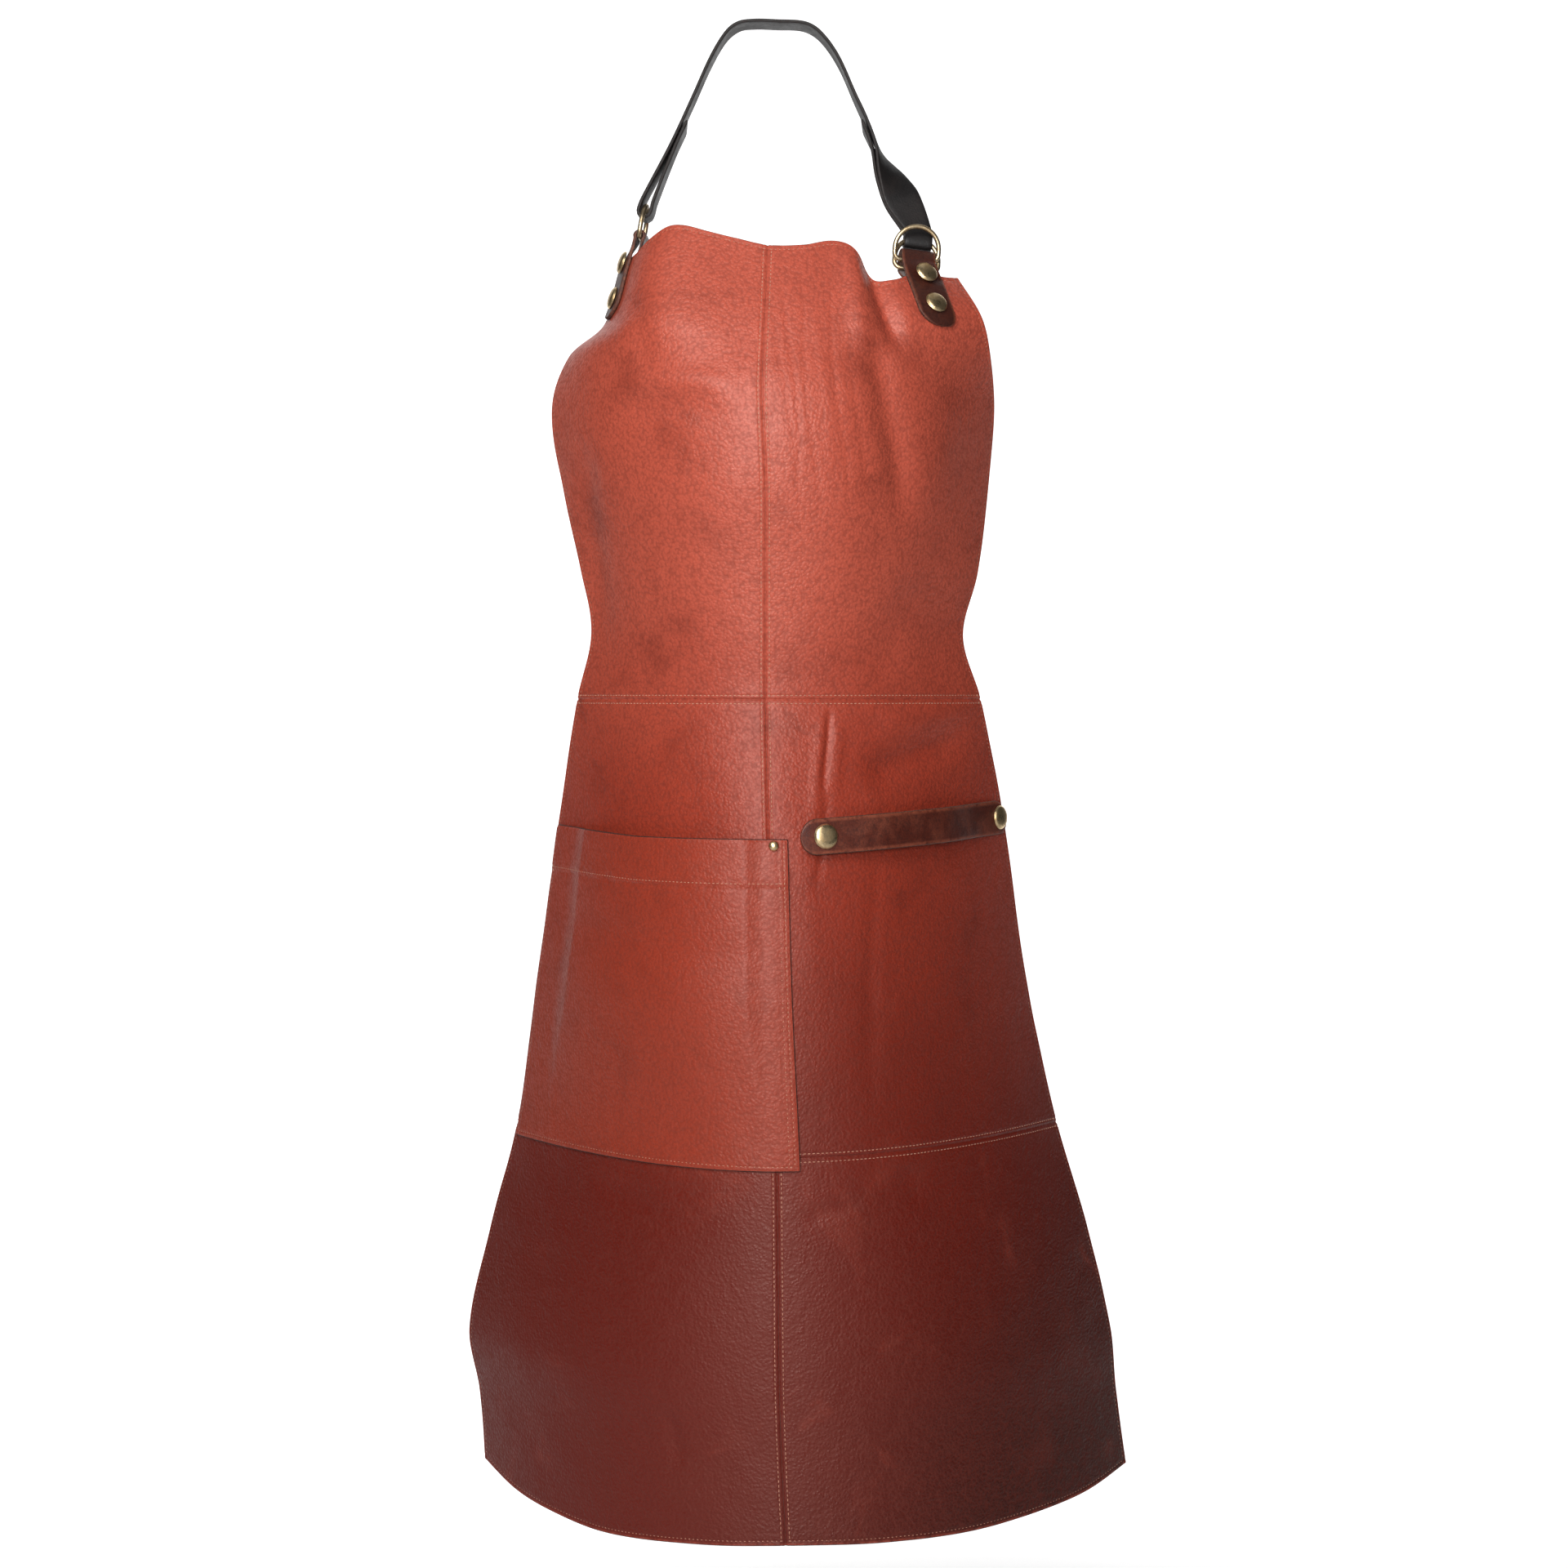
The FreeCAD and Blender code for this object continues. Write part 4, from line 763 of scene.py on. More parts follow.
def sew(name, places, lift=-0.3, extra=None):
    points, facing = form_line(places, lift, extra)
    stand(thread(name, points, facing), "apron", "hide")


def beside_seam(side, low, high, away=STITCH_IN):
    heights = np.linspace(low, high, 160)
    return [(side * away / reach_of(side, h), h) for h in heights]


def beside_edge(side, low, high, away=STITCH_IN):
    heights = np.linspace(low, high, 160)
    return [(side * (1.0 - away / edge_scale(side, h)), h) for h in heights]


def level_row(height, start, end):
    return [(a, height) for a in np.linspace(start, end, 160)]


top_left = float(top_height(-1.0))
top_right = float(top_height(1.0))
for side, word, top_corner in ((-1, "left", top_left), (1, "right", top_right)):
    inset = 1.0 - STITCH_IN / edge_scale(side, -500.0)
    sew(f"centre_stitch_bib_{word}", beside_seam(side, WAIST_SEAM + 1, float(top_height(0.0)) - 3.5))
    sew(f"centre_stitch_waist_{word}", beside_seam(side, POCKET_TOP + 3.0, WAIST_SEAM - 1))
    sew(f"centre_stitch_skirt_{word}", beside_seam(side, float(hem_height(0.0)) + 3.5, POCKET_BOTTOM - 1.0))
    sew(f"edge_stitch_bib_{word}", beside_edge(side, WAIST_SEAM + 1, top_corner - 3.5))
    sew(f"edge_stitch_waist_{word}", beside_edge(side, SKIRT_SEAM + 1, WAIST_SEAM - 1))
    sew(f"edge_stitch_skirt_{word}", beside_edge(side, float(hem_height(side)) + 3.5, SKIRT_SEAM - 1))
    sew(f"waist_stitch_upper_{word}", level_row(WAIST_SEAM + STITCH_IN, side * 0.006, side * inset))
    sew(f"waist_stitch_lower_{word}", level_row(WAIST_SEAM - STITCH_IN, side * 0.006, side * inset))
    hem = [(a, float(hem_height(a)) + STITCH_IN) for a in np.linspace(side * 0.006, side * inset, 160)]
    sew(f"hem_stitch_{word}", hem)
    top = [(a, float(top_height(a)) - STITCH_IN) for a in np.linspace(side * 0.006, side * 0.985, 200)]
    sew(f"top_stitch_{word}", top)
skirt_start = float(across_at(10.5, SKIRT_SEAM))
for word, height in (("upper", SKIRT_SEAM + STITCH_IN), ("lower", SKIRT_SEAM - STITCH_IN)):
    sew(f"skirt_stitch_{word}", level_row(height, skirt_start, 1.0 - STITCH_IN / edge_scale(1, SKIRT_SEAM)))


def pocket_row(name, places):
    """Stitches on the pocket's face along places (across, share of its height)."""
    places = np.array(places, float)
    across, share = places[:, 0], places[:, 1]
    height = pocket_height(across, share)
    lift = pocket_lift(across, height, share) - 0.3
    sew(name, np.stack([across, height], 1), 0.0, lift)


POCKET_TALL = POCKET_TOP - POCKET_BOTTOM


def inset_from(across, away, height=-660.0):
    """A place near one of the pocket's upright edges, some millimetres inside it."""
    ends = worn(np.array([across, across + 0.01]), height)
    return across + away * 0.01 / float(np.linalg.norm(ends[1] - ends[0]))


upright = np.linspace(0.015, 0.985, 150)
for number, away in enumerate((-STITCH_IN, -STITCH_IN - 3.2)):
    pocket_row(f"pocket_inner_stitch_{number + 1}", [(inset_from(POCKET_INNER, away), s) for s in upright])
pocket_row("pocket_outer_stitch", [(inset_from(POCKET_OUTER, STITCH_IN), s) for s in upright])
level_places = np.linspace(inset_from(POCKET_OUTER, 3.5), inset_from(POCKET_INNER, -3.5), 200)
pocket_row("pocket_bottom_stitch", [(a, STITCH_IN / POCKET_TALL) for a in level_places])
pocket_row("pocket_cuff_stitch", [(a, 1 - (CUFF - 1.6) / POCKET_TALL) for a in level_places])


# --- frames, bands and rings ---

class Seat:
    """A centre with three directions: across a strap, up along it, and outward from the body."""

    def __init__(self, centre, wide, up):
        self.centre = np.array(centre, float)
        self.wide = unit(np.array(wide, float))
        up = np.array(up, float)
        self.up = unit(up - self.wide * up.dot(self.wide))
        self.out = np.cross(self.wide, self.up)

    def at(self, wide=0.0, up=0.0, out=0.0):
        return self.centre + self.wide * wide + self.up * up + self.out * out


def swept(name, path, wides, sections, materials, kinds, closed=False):
    """A body swept along a path: sections[i] are the (across, through) places of its ring at each point."""
    path = np.array(path, float)
    wides = unit(np.array(wides, float))
    count = len(path)
    if closed:
        ahead = np.roll(path, -1, axis=0) - np.roll(path, 1, axis=0)
    else:
        ahead = np.gradient(path, axis=0)
    normals = unit(np.cross(wides, ahead))
    sections = np.asarray(sections, float)
    if sections.ndim == 2:
        sections = np.repeat(sections[None], count, 0)
    around = sections.shape[1]
    points = (path[:, None] + wides[:, None] * sections[..., :1] + normals[:, None] * sections[..., 1:])
    index = np.arange(count * around).reshape(count, around)
    following = np.roll(index, -1, axis=0) if closed else index[1:]
    first = index if closed else index[:-1]
    quads = np.stack([first, np.roll(first, -1, axis=1), np.roll(following, -1, axis=1), following], -1)
    faces = quads.reshape(-1, 4).tolist()
    face_kinds = np.tile(np.asarray(kinds), len(quads)).tolist()
    if not closed:
        faces += [index[0][::-1].tolist(), index[-1].tolist()]
        face_kinds += [1 if len(materials) > 1 else 0] * 2
    piece = add_mesh(name, points.reshape(-1, 3), faces, materials, face_kinds)
    normals_outward(piece)
    return piece


def strap_section(half, thick, count=9):
    """The outline of a strap's section: crowned faces with stitch-free rounded edges."""
    face = np.linspace(-1, 1, count)
    across = half * np.sin(face * math.pi / 2 * 0.985)
    crown = thick / 2 * (1 - 0.35 * np.abs(face) ** 6)
    upper = np.stack([across, crown], 1)
    right = np.array([[half, thick * 0.16], [half, -thick * 0.16]])
    lower = np.stack([across[::-1], -crown], 1)
    left = np.array([[-half, -thick * 0.16], [-half, thick * 0.16]])
    ring = np.concatenate([upper, right, lower, left])
    kinds = [0] * (count - 1) + [1] * 3 + [2] * (count - 1) + [1] * 3
    return ring, kinds


RIM = 0.93  # the share of a strap's half width where its worn rim starts


def strap(name, stations, thick, materials, spacing=2.0):
    """A strap through stations (centre, direction across, half width), with rounded ends and edges."""
    centres = [s[0] for s in stations]
    wides = [s[1] for s in stations]
    halves = [[s[2]] for s in stations]
    path, wides, halves = even_path(centres, spacing, [wides, halves])
    halves = halves[:, 0]
    places = np.concatenate([[0], np.cumsum(np.linalg.norm(np.diff(path, axis=0), axis=1))])
    sections = []
    for place, half in zip(places, halves):
        end = min(place, places[-1] - place)
        squeeze = 1.0 - 0.3 * math.exp(-((end / 0.8) ** 2))
        ring, kinds = strap_section(half, thick * squeeze)
        sections.append(ring)
    piece = swept(name, path, wides, sections, materials, kinds)
    side = np.tile(np.abs(ring[:, 0]) / max(halves) > RIM, len(path))
    set_wear(piece, side * 0.9)
    return piece, path, wides, halves


def tube(name, path, radius, material, closed=True, sides=14):
    """A round wire along a closed path that lies in one plane or bends gently."""
    path = np.array(path, float)
    centre = path.mean(axis=0)
    flat = np.linalg.svd(path - centre)[2][2]
    angles = 2 * math.pi * np.arange(sides) / sides
    ring = np.stack([np.cos(angles) * radius, np.sin(angles) * radius], 1)
    return swept(name, path, np.repeat(flat[None], len(path), 0), ring, [material], [0] * sides, closed)


# --- tabs and rings at the top ---

def seat_on(across, height):
    return worn(across, height), outward(across, height)


TAB_HALF, TAB_ROUND = 12.0, 10.0
RIGHT_UPPER, RIGHT_LOWER = (100.6, -179.5), (107.6, -200.0)
LEFT_ACROSS, LEFT_HEIGHTS, LEFT_SPREAD = -0.962, (-167.0, -191.0), 0.034
right_seats = [seat_on(float(across_at(*spot)), spot[1]) for spot in (RIGHT_UPPER, RIGHT_LOWER)]
left_seats = [seat_on(LEFT_ACROSS, height) for height in LEFT_HEIGHTS]
right_axis = unit(right_seats[0][1] + right_seats[1][1])
left_axis = unit(left_seats[0][1] + left_seats[1][1])


def up_the_tab(seats):
    return unit(seats[0][0] - seats[1][0])


def above(seats, distance):
    return seats[0][0] - seats[0][1] * (HIDE / 2) + up_the_tab(seats) * distance


right_fold = Seat(above(right_seats, 12.3), (0.98, 0.17, -0.10), up_the_tab(right_seats))
swing = np.array([0.983, -0.053, -0.174])
left_bar = np.array([0.0, 1.0, 0.0]) - swing * swing[1]
left_fold = Seat(above(left_seats, 17.8) + np.array([3.6, -2.0, 0.0]), -left_bar, (0.174, 0.0, 0.985))


def right_leg(share, column):
    x = 111.5 + share * (RIGHT_UPPER[0] - 111.5) + column * TAB_HALF * 0.98
    height = -214.0 + share * (RIGHT_UPPER[1] + 214.0) - column * TAB_HALF * 0.10
    return float(across_at(x, height)), height


def left_leg(share, column):
    return LEFT_ACROSS + column * LEFT_SPREAD, -204.0 + share * 37.0


def folded_tab(name, leg, fold, low, high, cavity, close, bulge, node):
    columns = np.concatenate([[-1.0, -0.985, -0.95], np.linspace(-0.85, 0.85, 11), [0.95, 0.985, 1.0]])
    crown = 0.32 * np.abs(columns) ** 14
    faces, backs = [], []

    def leg_row(share, front):
        near = close if front else -HIDE - close
        far = near + STRAP * (1 if front else -1)
        sign = 1 if front else -1
        face, back = [], []
        below = max(0.0, TAB_ROUND - share * 35.0)
        narrow = 1.0 - (TAB_ROUND - math.sqrt(TAB_ROUND**2 - below**2)) / TAB_HALF
        for column, drop in zip(columns, crown):
            across, height = leg(share, column * narrow)
            point, out = worn(across, height), outward(across, height)
            shift = relief(point[0], height)
            face.append(point + out * (far + shift - sign * drop))
            back.append(point + out * (near + shift))
        faces.append(face)
        backs.append(back)

    def fold_row(up, out, back_up, back_out):
        faces.append([fold.at(TAB_HALF * c * 0.93, up, out - np.sign(out) * d) for c, d in zip(columns, crown)])
        backs.append([fold.at(TAB_HALF * c * 0.93, back_up, back_out) for c in columns])

    shares = [0.0, 0.01, 0.03, 0.07, 0.13, 0.19, 0.27, 0.4, 0.6, 0.8, 1.0]
    for share in shares:
        leg_row(share, True)
    fold_row(low, cavity * bulge + STRAP, low, cavity * bulge)
    for angle in np.linspace(math.pi / 2, -math.pi / 2, 9):
        outer, inner = cavity + STRAP, cavity
        fold_row(high + outer * math.cos(angle), outer * math.sin(angle), high + inner * math.cos(angle),
                 inner * math.sin(angle))
    fold_row(low, -cavity * 0.74 - STRAP, low, -cavity * 0.74)
    for share in shares[::-1]:
        leg_row(share, False)
    faces, backs = np.array(faces), np.array(backs)
    middle = faces[:, len(columns) // 2]
    places = np.concatenate([[0], np.cumsum(np.linalg.norm(np.diff(middle, axis=0), axis=1))])
    ends = np.array([0.0, 0.4, 1.0, 1.8])
    wanted = np.concatenate([ends, np.arange(3.0, places[-1] - 2.5, 1.2), places[-1] - ends[::-1]])
    outer = smooth(np.concatenate([places[:, None], faces.reshape(len(faces), -1)], 1), wanted)
    inner = smooth(np.concatenate([places[:, None], backs.reshape(len(backs), -1)], 1), wanted)
    outer = outer.reshape(len(wanted), -1, 3)
    inner = inner.reshape(len(wanted), -1, 3)
    piece = sheet_mesh(name, outer, inner, [TAB_FACE, STRAP_EDGE, STRAP_BACK], 0.3)
    set_wear(piece, np.tile((np.abs(columns) > RIM) * 0.9, len(wanted)))
    normals_outward(piece)
    stand(piece, "apron", "tab_leather", node)


folded_tab("ring_tab_right_leather", right_leg, right_fold, -3.4, 2.6, 5.75, 0.35, 0.95, "ring_tab_right")
folded_tab("ring_tab_left_leather", left_leg, left_fold, -1.2, 0.4, 2.2, 0.5, 0.74, "ring_tab_left")

WIRE, RING_WIDTH, RING_RISE, RING_CORNER = 3.2, 30.2, 22.6, 4.5


def ring(name, seat, body, node):
    """A D-ring bent from one wire, its joint in the middle of the bar."""
    half, corner = RING_WIDTH / 2, RING_CORNER
    side_top = RING_RISE - half
    flat = [(w, 0.0) for w in np.linspace(0.0, half - corner, 8)[:-1]]
    flat += [(half - corner + corner * math.sin(a), corner - corner * math.cos(a))
             for a in np.linspace(0, math.pi / 2, 9)]
    flat += [(half, u) for u in np.linspace(corner, side_top, 4)[1:-1]]
    flat += [(half * math.cos(a), side_top + half * math.sin(a)) for a in np.linspace(0, math.pi, 41)]
    flat += [(-half, u) for u in np.linspace(side_top, corner, 4)[1:-1]]
    flat += [(-half + corner - corner * math.cos(a), corner - corner * math.sin(a))
             for a in np.linspace(0, math.pi / 2, 9)]
    flat += [(w, 0.0) for w in np.linspace(-(half - corner), 0.0, 8)[1:-1]]
    piece = tube(name, [seat.at(w, u) for w, u in flat], WIRE / 2, RING_METAL)
    stand(piece, body, "ring_metal", node)


left_seat = Seat(left_fold.centre, left_fold.wide, (0.174, 0.0, 0.985))
front_seat = Seat(right_fold.at(-0.8, 2.2, 2.15), (0.983, 0.17, -0.05), (0.0, -0.10, 0.994))
rear_seat = Seat(right_fold.at(0.0, -2.3, -2.1), (0.985, 0.15, -0.11), (0.072, 0.289, 0.955))
ring("left_ring_wire", left_seat, "left_ring", "ring_left")
ring("front_ring_wire", front_seat, "front_ring", "ring_right_front")
ring("rear_ring_wire", rear_seat, "neck_strap", "ring_right_rear")


# --- the neck strap ---

NECK_PATH = np.array([(-82.0, -22.0, -122.6), (-70.2, -14.0, -87.5), (-54.9, -8.0, -52.7), (-42.7, -3.0, -24.3),
                      (-32.4, 0.0, -6.5), (-23.6, 0.0, 0.2), (-12.4, 0.0, 1.7), (1.7, 0.0, 1.3),
                      (21.4, 0.0, 0.0), (32.3, 0.0, -6.5), (44.6, -3.0, -24.3), (56.6, -9.0, -52.6),
                      (64.2, -13.0, -70.0), (71.7, -17.0, -87.7), (81.5, -22.0, -108.9), (88.0, -26.0, -124.0)])
NECK_HALF, NECK_DOUBLED = 12.5, STRAP + 0.8


def across_strap(run, turned_to, share):
    run = unit(run)
    flat = unit(np.array([0.0, 1.0, 0.0]) - run * run[1])
    flat = unit(flat * (1 - share) + turned_to * share)
    return unit(flat - run * flat.dot(run))


def loop_stations(seat, gap, high, half):
    middle = gap + STRAP / 2
    beside = min(middle, 4.15)
    places = [(high, beside * 0.9), (high * 0.4, beside)]
    places += [(-middle * math.sin(a), beside * math.cos(a)) for a in np.linspace(0, math.pi, 7)]
    places += [(high * 0.4, -beside), (high, -beside * 0.9)]
    return [(seat.at(0.0, up, out), seat.wide, half) for up, out in places]


last = len(NECK_PATH) - 1
arch, inward = [], []
for index, place in enumerate(NECK_PATH):
    run = NECK_PATH[min(index + 1, last)] - NECK_PATH[max(index - 1, 0)]
    wide = across_strap(run, rear_seat.wide, float(ease((index - last + 2.6) / 2.6)))
    arch.append((place, wide, NECK_HALF))
    inward.append(unit(np.cross(wide, run)))


def doubled_place(index):
    centre, wide, half = arch[index]
    return centre + inward[index] * NECK_DOUBLED, wide, half


left_loop = Seat(left_seat.at(0.0, 18.2), left_seat.wide, arch[1][0] - arch[0][0])
right_loop = Seat(rear_seat.at(0.0, 19.0), rear_seat.wide, rear_seat.up)
left_turn = [(centre, -wide, half) for centre, wide, half in loop_stations(left_loop, 3.2, 7.5, 10.5)]
right_turn = loop_stations(right_loop, 2.05, 7.0, 9.5)
tip, near_tip = doubled_place(2), doubled_place(1)
left_end = [((tip[0] + near_tip[0]) * 0.5, near_tip[1], NECK_HALF), near_tip]
tail = [doubled_place(index) for index in (-1, -2, -3, -4)]
neck, neck_path, neck_wides, neck_halves = strap("neck_strap_leather", left_end + left_turn[::-1] + arch[1:]
                                                 + right_turn + tail, STRAP, [BLACK_FACE, BLACK_EDGE, BLACK_FACE])
stand(neck, "neck_strap", "neck_strap", "neck_strap")


def strap_rows(name, body, slot, path, wides, halves, start, end, lift, inset=2.6, material=None):
    """Two rows of stitches near a strap's edges, between two of its stations."""
    ahead = np.gradient(path, axis=0)
    normals = unit(np.cross(unit(wides), ahead))
    for number, side in enumerate((-1, 1)):
        line = path[start:end] + unit(wides)[start:end] * (side * (halves[start:end] - inset))[:, None]
        piece = thread(f"{name}_{number + 1}", line + normals[start:end] * lift, normals[start:end] * np.sign(lift),
                       pitch=3.2, radius=0.36)
        if material is not None:
            piece.data.materials.clear()
            piece.data.materials.append(material)
        stand(piece, body, slot)


# --- the towel strap ---

SPLIT, TOWEL_HALF, SNAP_STACK, TOWEL_ROOM = 0.55, 11.25, 4.2, 7.5
SNAP, STRAP_END = (32.3, -553.0), (0.965, -545.4)
SNAP_ACROSS, STRAP_START, STRAP_FINISH = float(across_at(*SNAP)), float(across_at(17.0, SNAP[1])), 0.998


def towel_height(across):
    return SNAP[1] + 7.6 * (across - SNAP_ACROSS) / (STRAP_END[0] - SNAP_ACROSS)


def towel_gap(across):
    room = SNAP_STACK + (TOWEL_ROOM - SNAP_STACK) * ease((across - SNAP_ACROSS - 0.05) / 0.2)
    return room + (LINING - room) * ease((across - 0.66) / 0.24)


def towel_strap():
    fine = np.linspace(STRAP_START, STRAP_FINISH, 801)
    line = worn(fine, towel_height(fine)) + outward(fine, towel_height(fine)) * towel_gap(fine)[:, None]
    places = np.concatenate([[0], np.cumsum(np.linalg.norm(np.diff(line, axis=0), axis=1))])
    length = places[-1]
    ends = TOWEL_HALF * (1 - np.cos(np.linspace(0.09, math.pi / 2, 14)))
    distances = np.concatenate([ends, np.arange(TOWEL_HALF + 1.2, length - TOWEL_HALF - 0.6, 1.3),
                                length - ends[::-1]])
    across = np.interp(distances, places, fine)
    end = np.minimum(distances, length - distances)
    halves = np.where(end < TOWEL_HALF, np.sqrt(np.maximum(TOWEL_HALF**2 - (TOWEL_HALF - end) ** 2, 0.2)),
                      TOWEL_HALF)
    shares = np.concatenate([[-1.0, -0.97, -0.9], np.linspace(-0.78, 0.78, 9), [0.9, 0.97, 1.0]])
    outer, inner = [], []
    for a, half in zip(across, halves):
        heights = towel_height(a) + half * shares
        base, out = worn(a, heights), outward(a, heights)
        settle = relief(base[:, 0], heights) * float(ease((a - 0.7) / 0.2))
        crown = 0.3 * np.abs(shares) ** 10 + 0.12 * np.sin(heights / 3.1) * math.sin(a * 40.0)
        gap = float(towel_gap(a)) + settle
        outer.append(base + out * (gap + STRAP - crown)[:, None])
        inner.append(base + out * gap[:, None])
    piece = sheet_mesh("towel_strap_leather_band", np.array(outer), np.array(inner),
                       [TOWEL_FACE, STRAP_EDGE, STRAP_BACK], 0.3)
    wear = np.tile(np.abs(shares) > 0.88, len(across)) * 0.9
    set_wear(piece, wear)
    normals_outward(piece)
    return piece


towel = towel_strap()
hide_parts("towel_strap", "towel_strap_fixed_end")
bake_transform(towel)


# --- rivets and snap ---

def dome(radius, rise, reach, post):
    """The outline of a domed cap with a rolled rim, standing on its post."""
    outline = [(0.02, -reach), (post * 0.98, -reach), (post, -reach + 0.1), (post, -0.02), (post, 0.0),
               (radius * 0.93, 0.0), (radius * 0.985, 0.08), (radius, 0.35), (radius, 0.62), (radius * 0.985, 0.86),
               (radius * 0.955, 1.0)]
    for angle in np.linspace(0.12, math.pi / 2, 12):
        outline.append((radius * 0.95 * math.cos(angle), 1.0 + (rise - 1.0) * math.sin(angle)))
    return outline[:-1] + [(0.02, rise)]


def cap(name, seat, axis, outer, reach, radius, post, body, node):
    centre = seat[0] + axis * outer
    piece = turned(name, dome(radius, 3.2, reach, post), centre, axis, CAP_METAL)
    stand(piece, body, "brass_caps", node)


TAB_OUTER, TAB_INNER, TAB_CAP, BIG_CAP, SMALL_CAP = STRAP + 0.75, -HIDE - STRAP - 0.95, 7.8, 8.3, 3.5
for word, seat, lift in zip(("upper", "lower"), right_seats, (2.5, 0.1)):
    cap(f"right_{word}_cap", seat, right_axis, TAB_OUTER + lift, TAB_OUTER - TAB_INNER + 2 * lift + 1.1, TAB_CAP,
        1.75, "apron", f"tab_rivet_right_{word}_cap")
for word, seat in zip(("upper", "lower"), left_seats):
    cap(f"left_{word}_cap", seat, left_axis, TAB_OUTER + 0.15, TAB_OUTER - TAB_INNER + 1.65, TAB_CAP, 1.75,
        "apron", f"tab_rivet_left_{word}_cap")
pocket_seat = seat_on(float(across_at(0.4, -558.8)), -558.8)
cap("pocket_cap", pocket_seat, pocket_seat[1], LINING + 0.35 + HIDE + 0.15 + 0.45, 5.4, SMALL_CAP, 1.1, "apron",
    "pocket_rivet_cap")
end_seat = seat_on(*STRAP_END)
cap("towel_end_cap", end_seat, end_seat[1], LINING + STRAP + 0.1, LINING + STRAP + HIDE + 1.4, BIG_CAP, 1.75,
    "apron", "towel_strap_rivet_cap")
snap_seat = seat_on(SNAP_ACROSS, SNAP[1])
cap("snap_dome", snap_seat, snap_seat[1], SNAP_STACK + STRAP + 0.08, 3.2, BIG_CAP, 1.75, "towel_strap", "snap_cap")


# --- the waist strap behind ---

WAIST_HEIGHT, BACK_Y, WAIST_HALF, PITCH, KEEPER_X = -422.0, 113.0, 12.5, 15.8, -68.0
SLIDE_HEIGHT, SLIDE_BAR, SLIDE_PLATE = 36.0, 3.0, 2.4
DOUBLED = STRAP + 0.35
SLIDE_Y = BACK_Y + SLIDE_PLATE / 2 + 0.85 + STRAP / 2
FOLD = SLIDE_Y - BACK_Y
UPRIGHT = np.array([0.0, 0.0, 1.0])


def waist_way(side):
    inside = -HIDE - LINING - STRAP / 2
    way = [worn(side * a, WAIST_HEIGHT) + outward(side * a, WAIST_HEIGHT) * (
        inside + relief(worn(side * a, WAIST_HEIGHT)[0], WAIST_HEIGHT)) for a in (0.88, 0.91, 0.94, 0.97, 1.0)]
    heading = unit(way[-1] - way[-2])
    start, finish = way[-1], np.array([side * 95.0, BACK_Y, WAIST_HEIGHT])
    pulls = [start, start + heading * 8.0, finish + np.array([side * 36.0, 0, 0]), finish]
    for share in np.linspace(0, 1, 9)[1:]:
        weights = [(1 - share) ** 3, 3 * share * (1 - share) ** 2, 3 * share**2 * (1 - share), share**3]
        place = sum(w * p for w, p in zip(weights, pulls))
        way.append(np.array([place[0], place[1], WAIST_HEIGHT]))
    return way


def waist_strap(name, flat, side, node):
    way = waist_way(side) + [np.array([x, y, WAIST_HEIGHT]) for x, y in flat]
    first, second = (STRAP_BACK, BLACK_FACE) if side > 0 else (BLACK_FACE, STRAP_BACK)
    piece, path, wides, halves = strap(name, [(p, UPRIGHT, WAIST_HALF) for p in way], STRAP,
                                       [first, BLACK_EDGE, second], 1.6)
    stand(piece, "apron", "waist_strap", node)
    return path, wides, halves


left_fold_round = [(-PITCH + FOLD * math.sin(a), SLIDE_Y - FOLD * math.cos(a)) for a in np.linspace(0, math.pi, 7)]
straight = [(x, BACK_Y) for x in (-85.0, -75.0, -65.0, -55.0, -45.0, -37.0, -30.0, -24.0, -20.0, -17.8)]
sewn_end = [(-17.8, SLIDE_Y + FOLD - 0.1), (-20.5, SLIDE_Y + 2.7), (-24.0, SLIDE_Y + 1.7), (-28.0, SLIDE_Y + 0.7),
            (-32.0, BACK_Y + DOUBLED + 0.3), (-37.0, BACK_Y + DOUBLED), (-43.0, BACK_Y + DOUBLED),
            (-50.0, BACK_Y + DOUBLED)]
left_path, left_wides, left_halves = waist_strap("waist_strap_left_band", straight + left_fold_round + sewn_end, -1,
                                                 "waist_strap_left")
over_bar = [(FOLD * math.sin(a), SLIDE_Y + FOLD * math.cos(a)) for a in np.linspace(0.85, -0.75, 4)]
under = BACK_Y - DOUBLED
approach = [(x, BACK_Y - 0.1) for x in (85.0, 75.0, 65.0, 55.0, 45.0, 37.0, 30.0, 24.0, 19.0)]
approach += [(15.0, BACK_Y + 0.1), (11.0, BACK_Y + 1.3), (7.6, BACK_Y + 3.0), (4.8, BACK_Y + 4.9)]
tail_end = [(-5.4, BACK_Y + 2.8), (-8.6, BACK_Y + 0.1), (-11.6, under + 0.8), (-15.0, under - 0.1)]
tail_end += [(x, under - 0.1) for x in (-20.0, -26.0, -35.0, -45.0, -55.0, -65.0, -75.0, -84.0)]
waist_strap("waist_strap_right_band", approach + over_bar + tail_end, 1, "waist_strap_right")


def rounded_bar(half_wide, half_thick, sides=16):
    angles = 2 * math.pi * (np.arange(sides) + 0.5) / sides
    return np.stack([np.sign(np.cos(angles)) * half_wide * np.abs(np.cos(angles)) ** 0.45,
                     np.sign(np.sin(angles)) * half_thick * np.abs(np.sin(angles)) ** 0.45], 1)


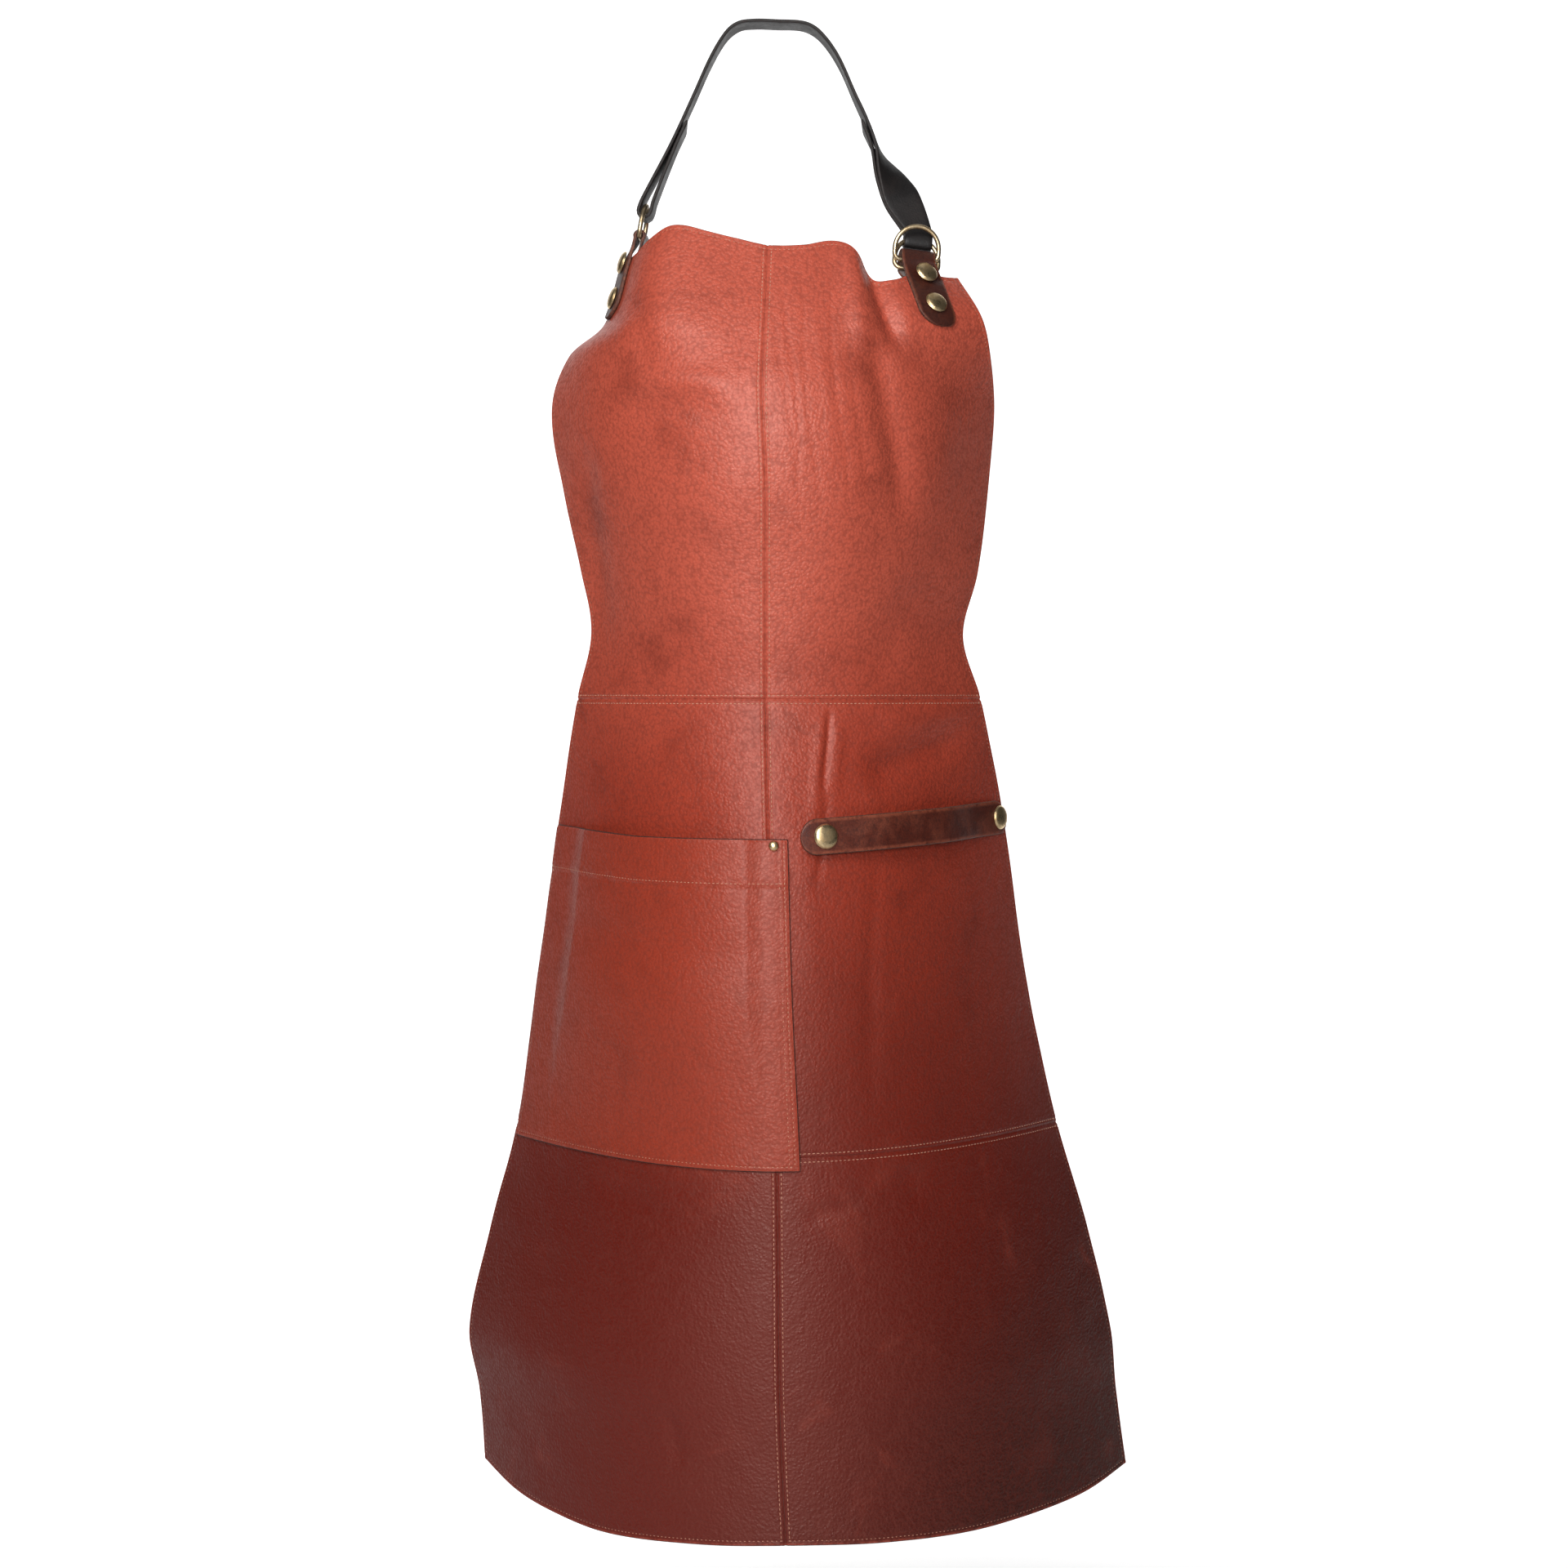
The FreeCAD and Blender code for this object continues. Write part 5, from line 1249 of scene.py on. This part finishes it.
def rounded_frame(wide, tall, corner, turns, spacing):
    """Evenly spaced points round a rectangle with rounded corners."""
    outline = []
    for cx, cz, start in ((wide - corner, tall - corner, 0.0), (-wide + corner, tall - corner, math.pi / 2),
                          (-wide + corner, -tall + corner, math.pi), (wide - corner, -tall + corner, 1.5 * math.pi)):
        outline += [(cx + corner * math.cos(start + a), cz + corner * math.sin(start + a))
                    for a in np.linspace(0, math.pi / 2, turns)]
    dense = []
    for first, second in zip(outline, outline[1:] + outline[:1]):
        steps = max(1, int(math.dist(first, second) / spacing))
        dense += [tuple(np.array(first) + (np.array(second) - np.array(first)) * k / steps) for k in range(steps)]
    return dense


def slide():
    """A three-bar slide: a rounded frame round a middle bar."""
    tall = (SLIDE_HEIGHT - SLIDE_BAR) / 2
    dense = rounded_frame(PITCH, tall, 3.0, 7, 3)
    path = [(x, SLIDE_Y, WAIST_HEIGHT + z) for x, z in dense]
    section = rounded_bar(SLIDE_PLATE / 2, SLIDE_BAR / 2)
    outer = swept("waist_slide_frame", path, [(0, 1, 0)] * len(path), section, [SLIDE_METAL], [0] * 16, True)
    bar = [(0.0, SLIDE_Y, WAIST_HEIGHT + z) for z in np.linspace(-tall, tall, 14)]
    middle = swept("waist_slide_middle", bar, [(0, 1, 0)] * len(bar), section, [SLIDE_METAL], [0] * 16)
    stand(outer, "apron", "slide_metal", "waist_slide")
    stand(middle, "apron", "slide_metal")


slide()


def keeper():
    thick, play = 1.6, 0.5
    half_y = (STRAP + DOUBLED + 2 * play) / 2 + thick / 2
    half_z = WAIST_HALF + play + thick / 2
    middle_y = BACK_Y - DOUBLED / 2
    dense = rounded_frame(half_y, half_z, 1.5, 6, 2)
    path = [(KEEPER_X, middle_y + y, WAIST_HEIGHT + z) for y, z in dense]
    ring_section, kinds = strap_section(6.0, thick)
    piece = swept("keeper_loop", path, [(1, 0, 0)] * len(path), ring_section, [BLACK_FACE, BLACK_EDGE, BLACK_FACE],
                  kinds, True)
    stand(piece, "keeper", "waist_strap", "waist_keeper")


keeper()

BLACK_THREAD = strap_leather("black_thread", rgb(52, 46, 44), rgb(84, 76, 72), rgb(24, 20, 20), 2400.0, 0.6)
strap_rows("neck_end_stitch", "neck_strap", "neck_strap", neck_path, neck_wides, neck_halves, 2, 20, STRAP / 2,
           material=BLACK_THREAD)
strap_rows("waist_end_stitch", "apron", "waist_strap", left_path, left_wides, left_halves,
           len(left_path) - 14, len(left_path) - 1, STRAP / 2, material=BLACK_THREAD)


# --- small CAD parts that are shown as they are ---

BACKS = ["tab_rivet_right_upper_back", "tab_rivet_right_lower_back", "tab_rivet_left_upper_back",
         "tab_rivet_left_lower_back", "pocket_rivet_back", "towel_strap_rivet_back", "snap_stud",
         "snap_stud_back", "snap_socket"]
for name in BACKS:
    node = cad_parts[name]
    node.data.materials.clear()
    node.data.materials.append(CAP_METAL)


# --- stage ---

def aimed(location, target):
    from mathutils import Vector
    return (Vector(target) - Vector(location)).to_track_quat("-Z", "Y").to_euler()


scene = bpy.context.scene
scene.view_settings.view_transform = "Standard"
scene.view_settings.look = "None"
camera_data = bpy.data.cameras.new("view")
camera_data.lens = 63.7
camera_data.sensor_width = 36.0
camera_data.shift_y = -110 / 1920
camera_data.clip_start, camera_data.clip_end = 0.05, 30.0
camera = bpy.data.objects.new("view", camera_data)
camera.location = (0.0073, -1.91, -0.4595)
camera.rotation_euler = (math.radians(90), 0, 0)
scene.collection.objects.link(camera)
scene.camera = camera


def area_light(name, location, target, width, height, power, colour=(1, 1, 1)):
    data = bpy.data.lights.new(name, "AREA")
    data.shape = "RECTANGLE"
    data.size, data.size_y = width, height
    data.energy = power
    data.color = colour
    light = bpy.data.objects.new(name, data)
    light.location = location
    light.rotation_euler = aimed(location, target)
    scene.collection.objects.link(light)
    return light


area_light("key", (-0.42, -1.5, 0.55), (0.0, 0.0, -0.30), 1.1, 0.8, 25.0)
area_light("front", (-0.18, -2.45, -0.22), (0.0, 0.0, -0.36), 0.9, 0.6, 40.0)
area_light("fill", (1.5, -1.5, -0.1), (0.0, 0.0, -0.5), 1.0, 1.4, 0.8)
area_light("top", (0.1, 0.3, 1.3), (0.0, -0.05, -0.3), 1.6, 0.9, 2.0)
area_light("back", (0.5, 1.8, 0.3), (0.0, 0.0, -0.45), 1.6, 1.6, 2.5)

world = bpy.data.worlds.new("studio")
world.use_nodes = True
sky = world.node_tree.nodes["Background"]
sky.inputs["Color"].default_value = (1, 1, 1, 1)
seen = world.node_tree.nodes.new("ShaderNodeLightPath")
level_of = world.node_tree.nodes.new("ShaderNodeMapRange")
level_of.inputs["To Min"].default_value = 0.045
level_of.inputs["To Max"].default_value = 0.96
world.node_tree.links.new(seen.outputs["Is Camera Ray"], level_of.inputs["Value"])
world.node_tree.links.new(level_of.outputs["Result"], sky.inputs["Strength"])
scene.world = world

pale = Nodes("pale_floor", roughness=0.9)
pale_tone = pale.mix(pale.spread(pale.noise(3.0), 0.3, 0.7, 0.0, 0.02), rgb(206, 206, 206), rgb(198, 198, 200))
pale.shader.inputs["Emission Color"].default_value = (1, 1, 1, 1)
pale.put(pale.shader.inputs["Emission Strength"], pale.spread(pale.axis("Y"), 0.2, 1.1, 0.0, 0.95))
pale_material = pale.finish(pale_tone)


def backdrop():
    """A pale floor well below the hem that curves up into a wall behind."""
    floor, back, radius, half = -1300.0, 2600.0, 900.0, 2300.0
    profile = [(-4200.0, floor), (-1500.0, floor), (0.0, floor), (back - radius, floor)]
    profile += [(back - radius + radius * math.sin(a), floor + radius - radius * math.cos(a))
                for a in np.linspace(0, math.pi / 2, 17)[1:]]
    profile += [(back, 3600.0)]
    points = [(x, y, z) for y, z in profile for x in (-half, half)]
    faces = [(2 * k, 2 * k + 1, 2 * k + 3, 2 * k + 2) for k in range(len(profile) - 1)]
    piece = add_mesh("pale_floor", points, faces, [pale_material])


backdrop()
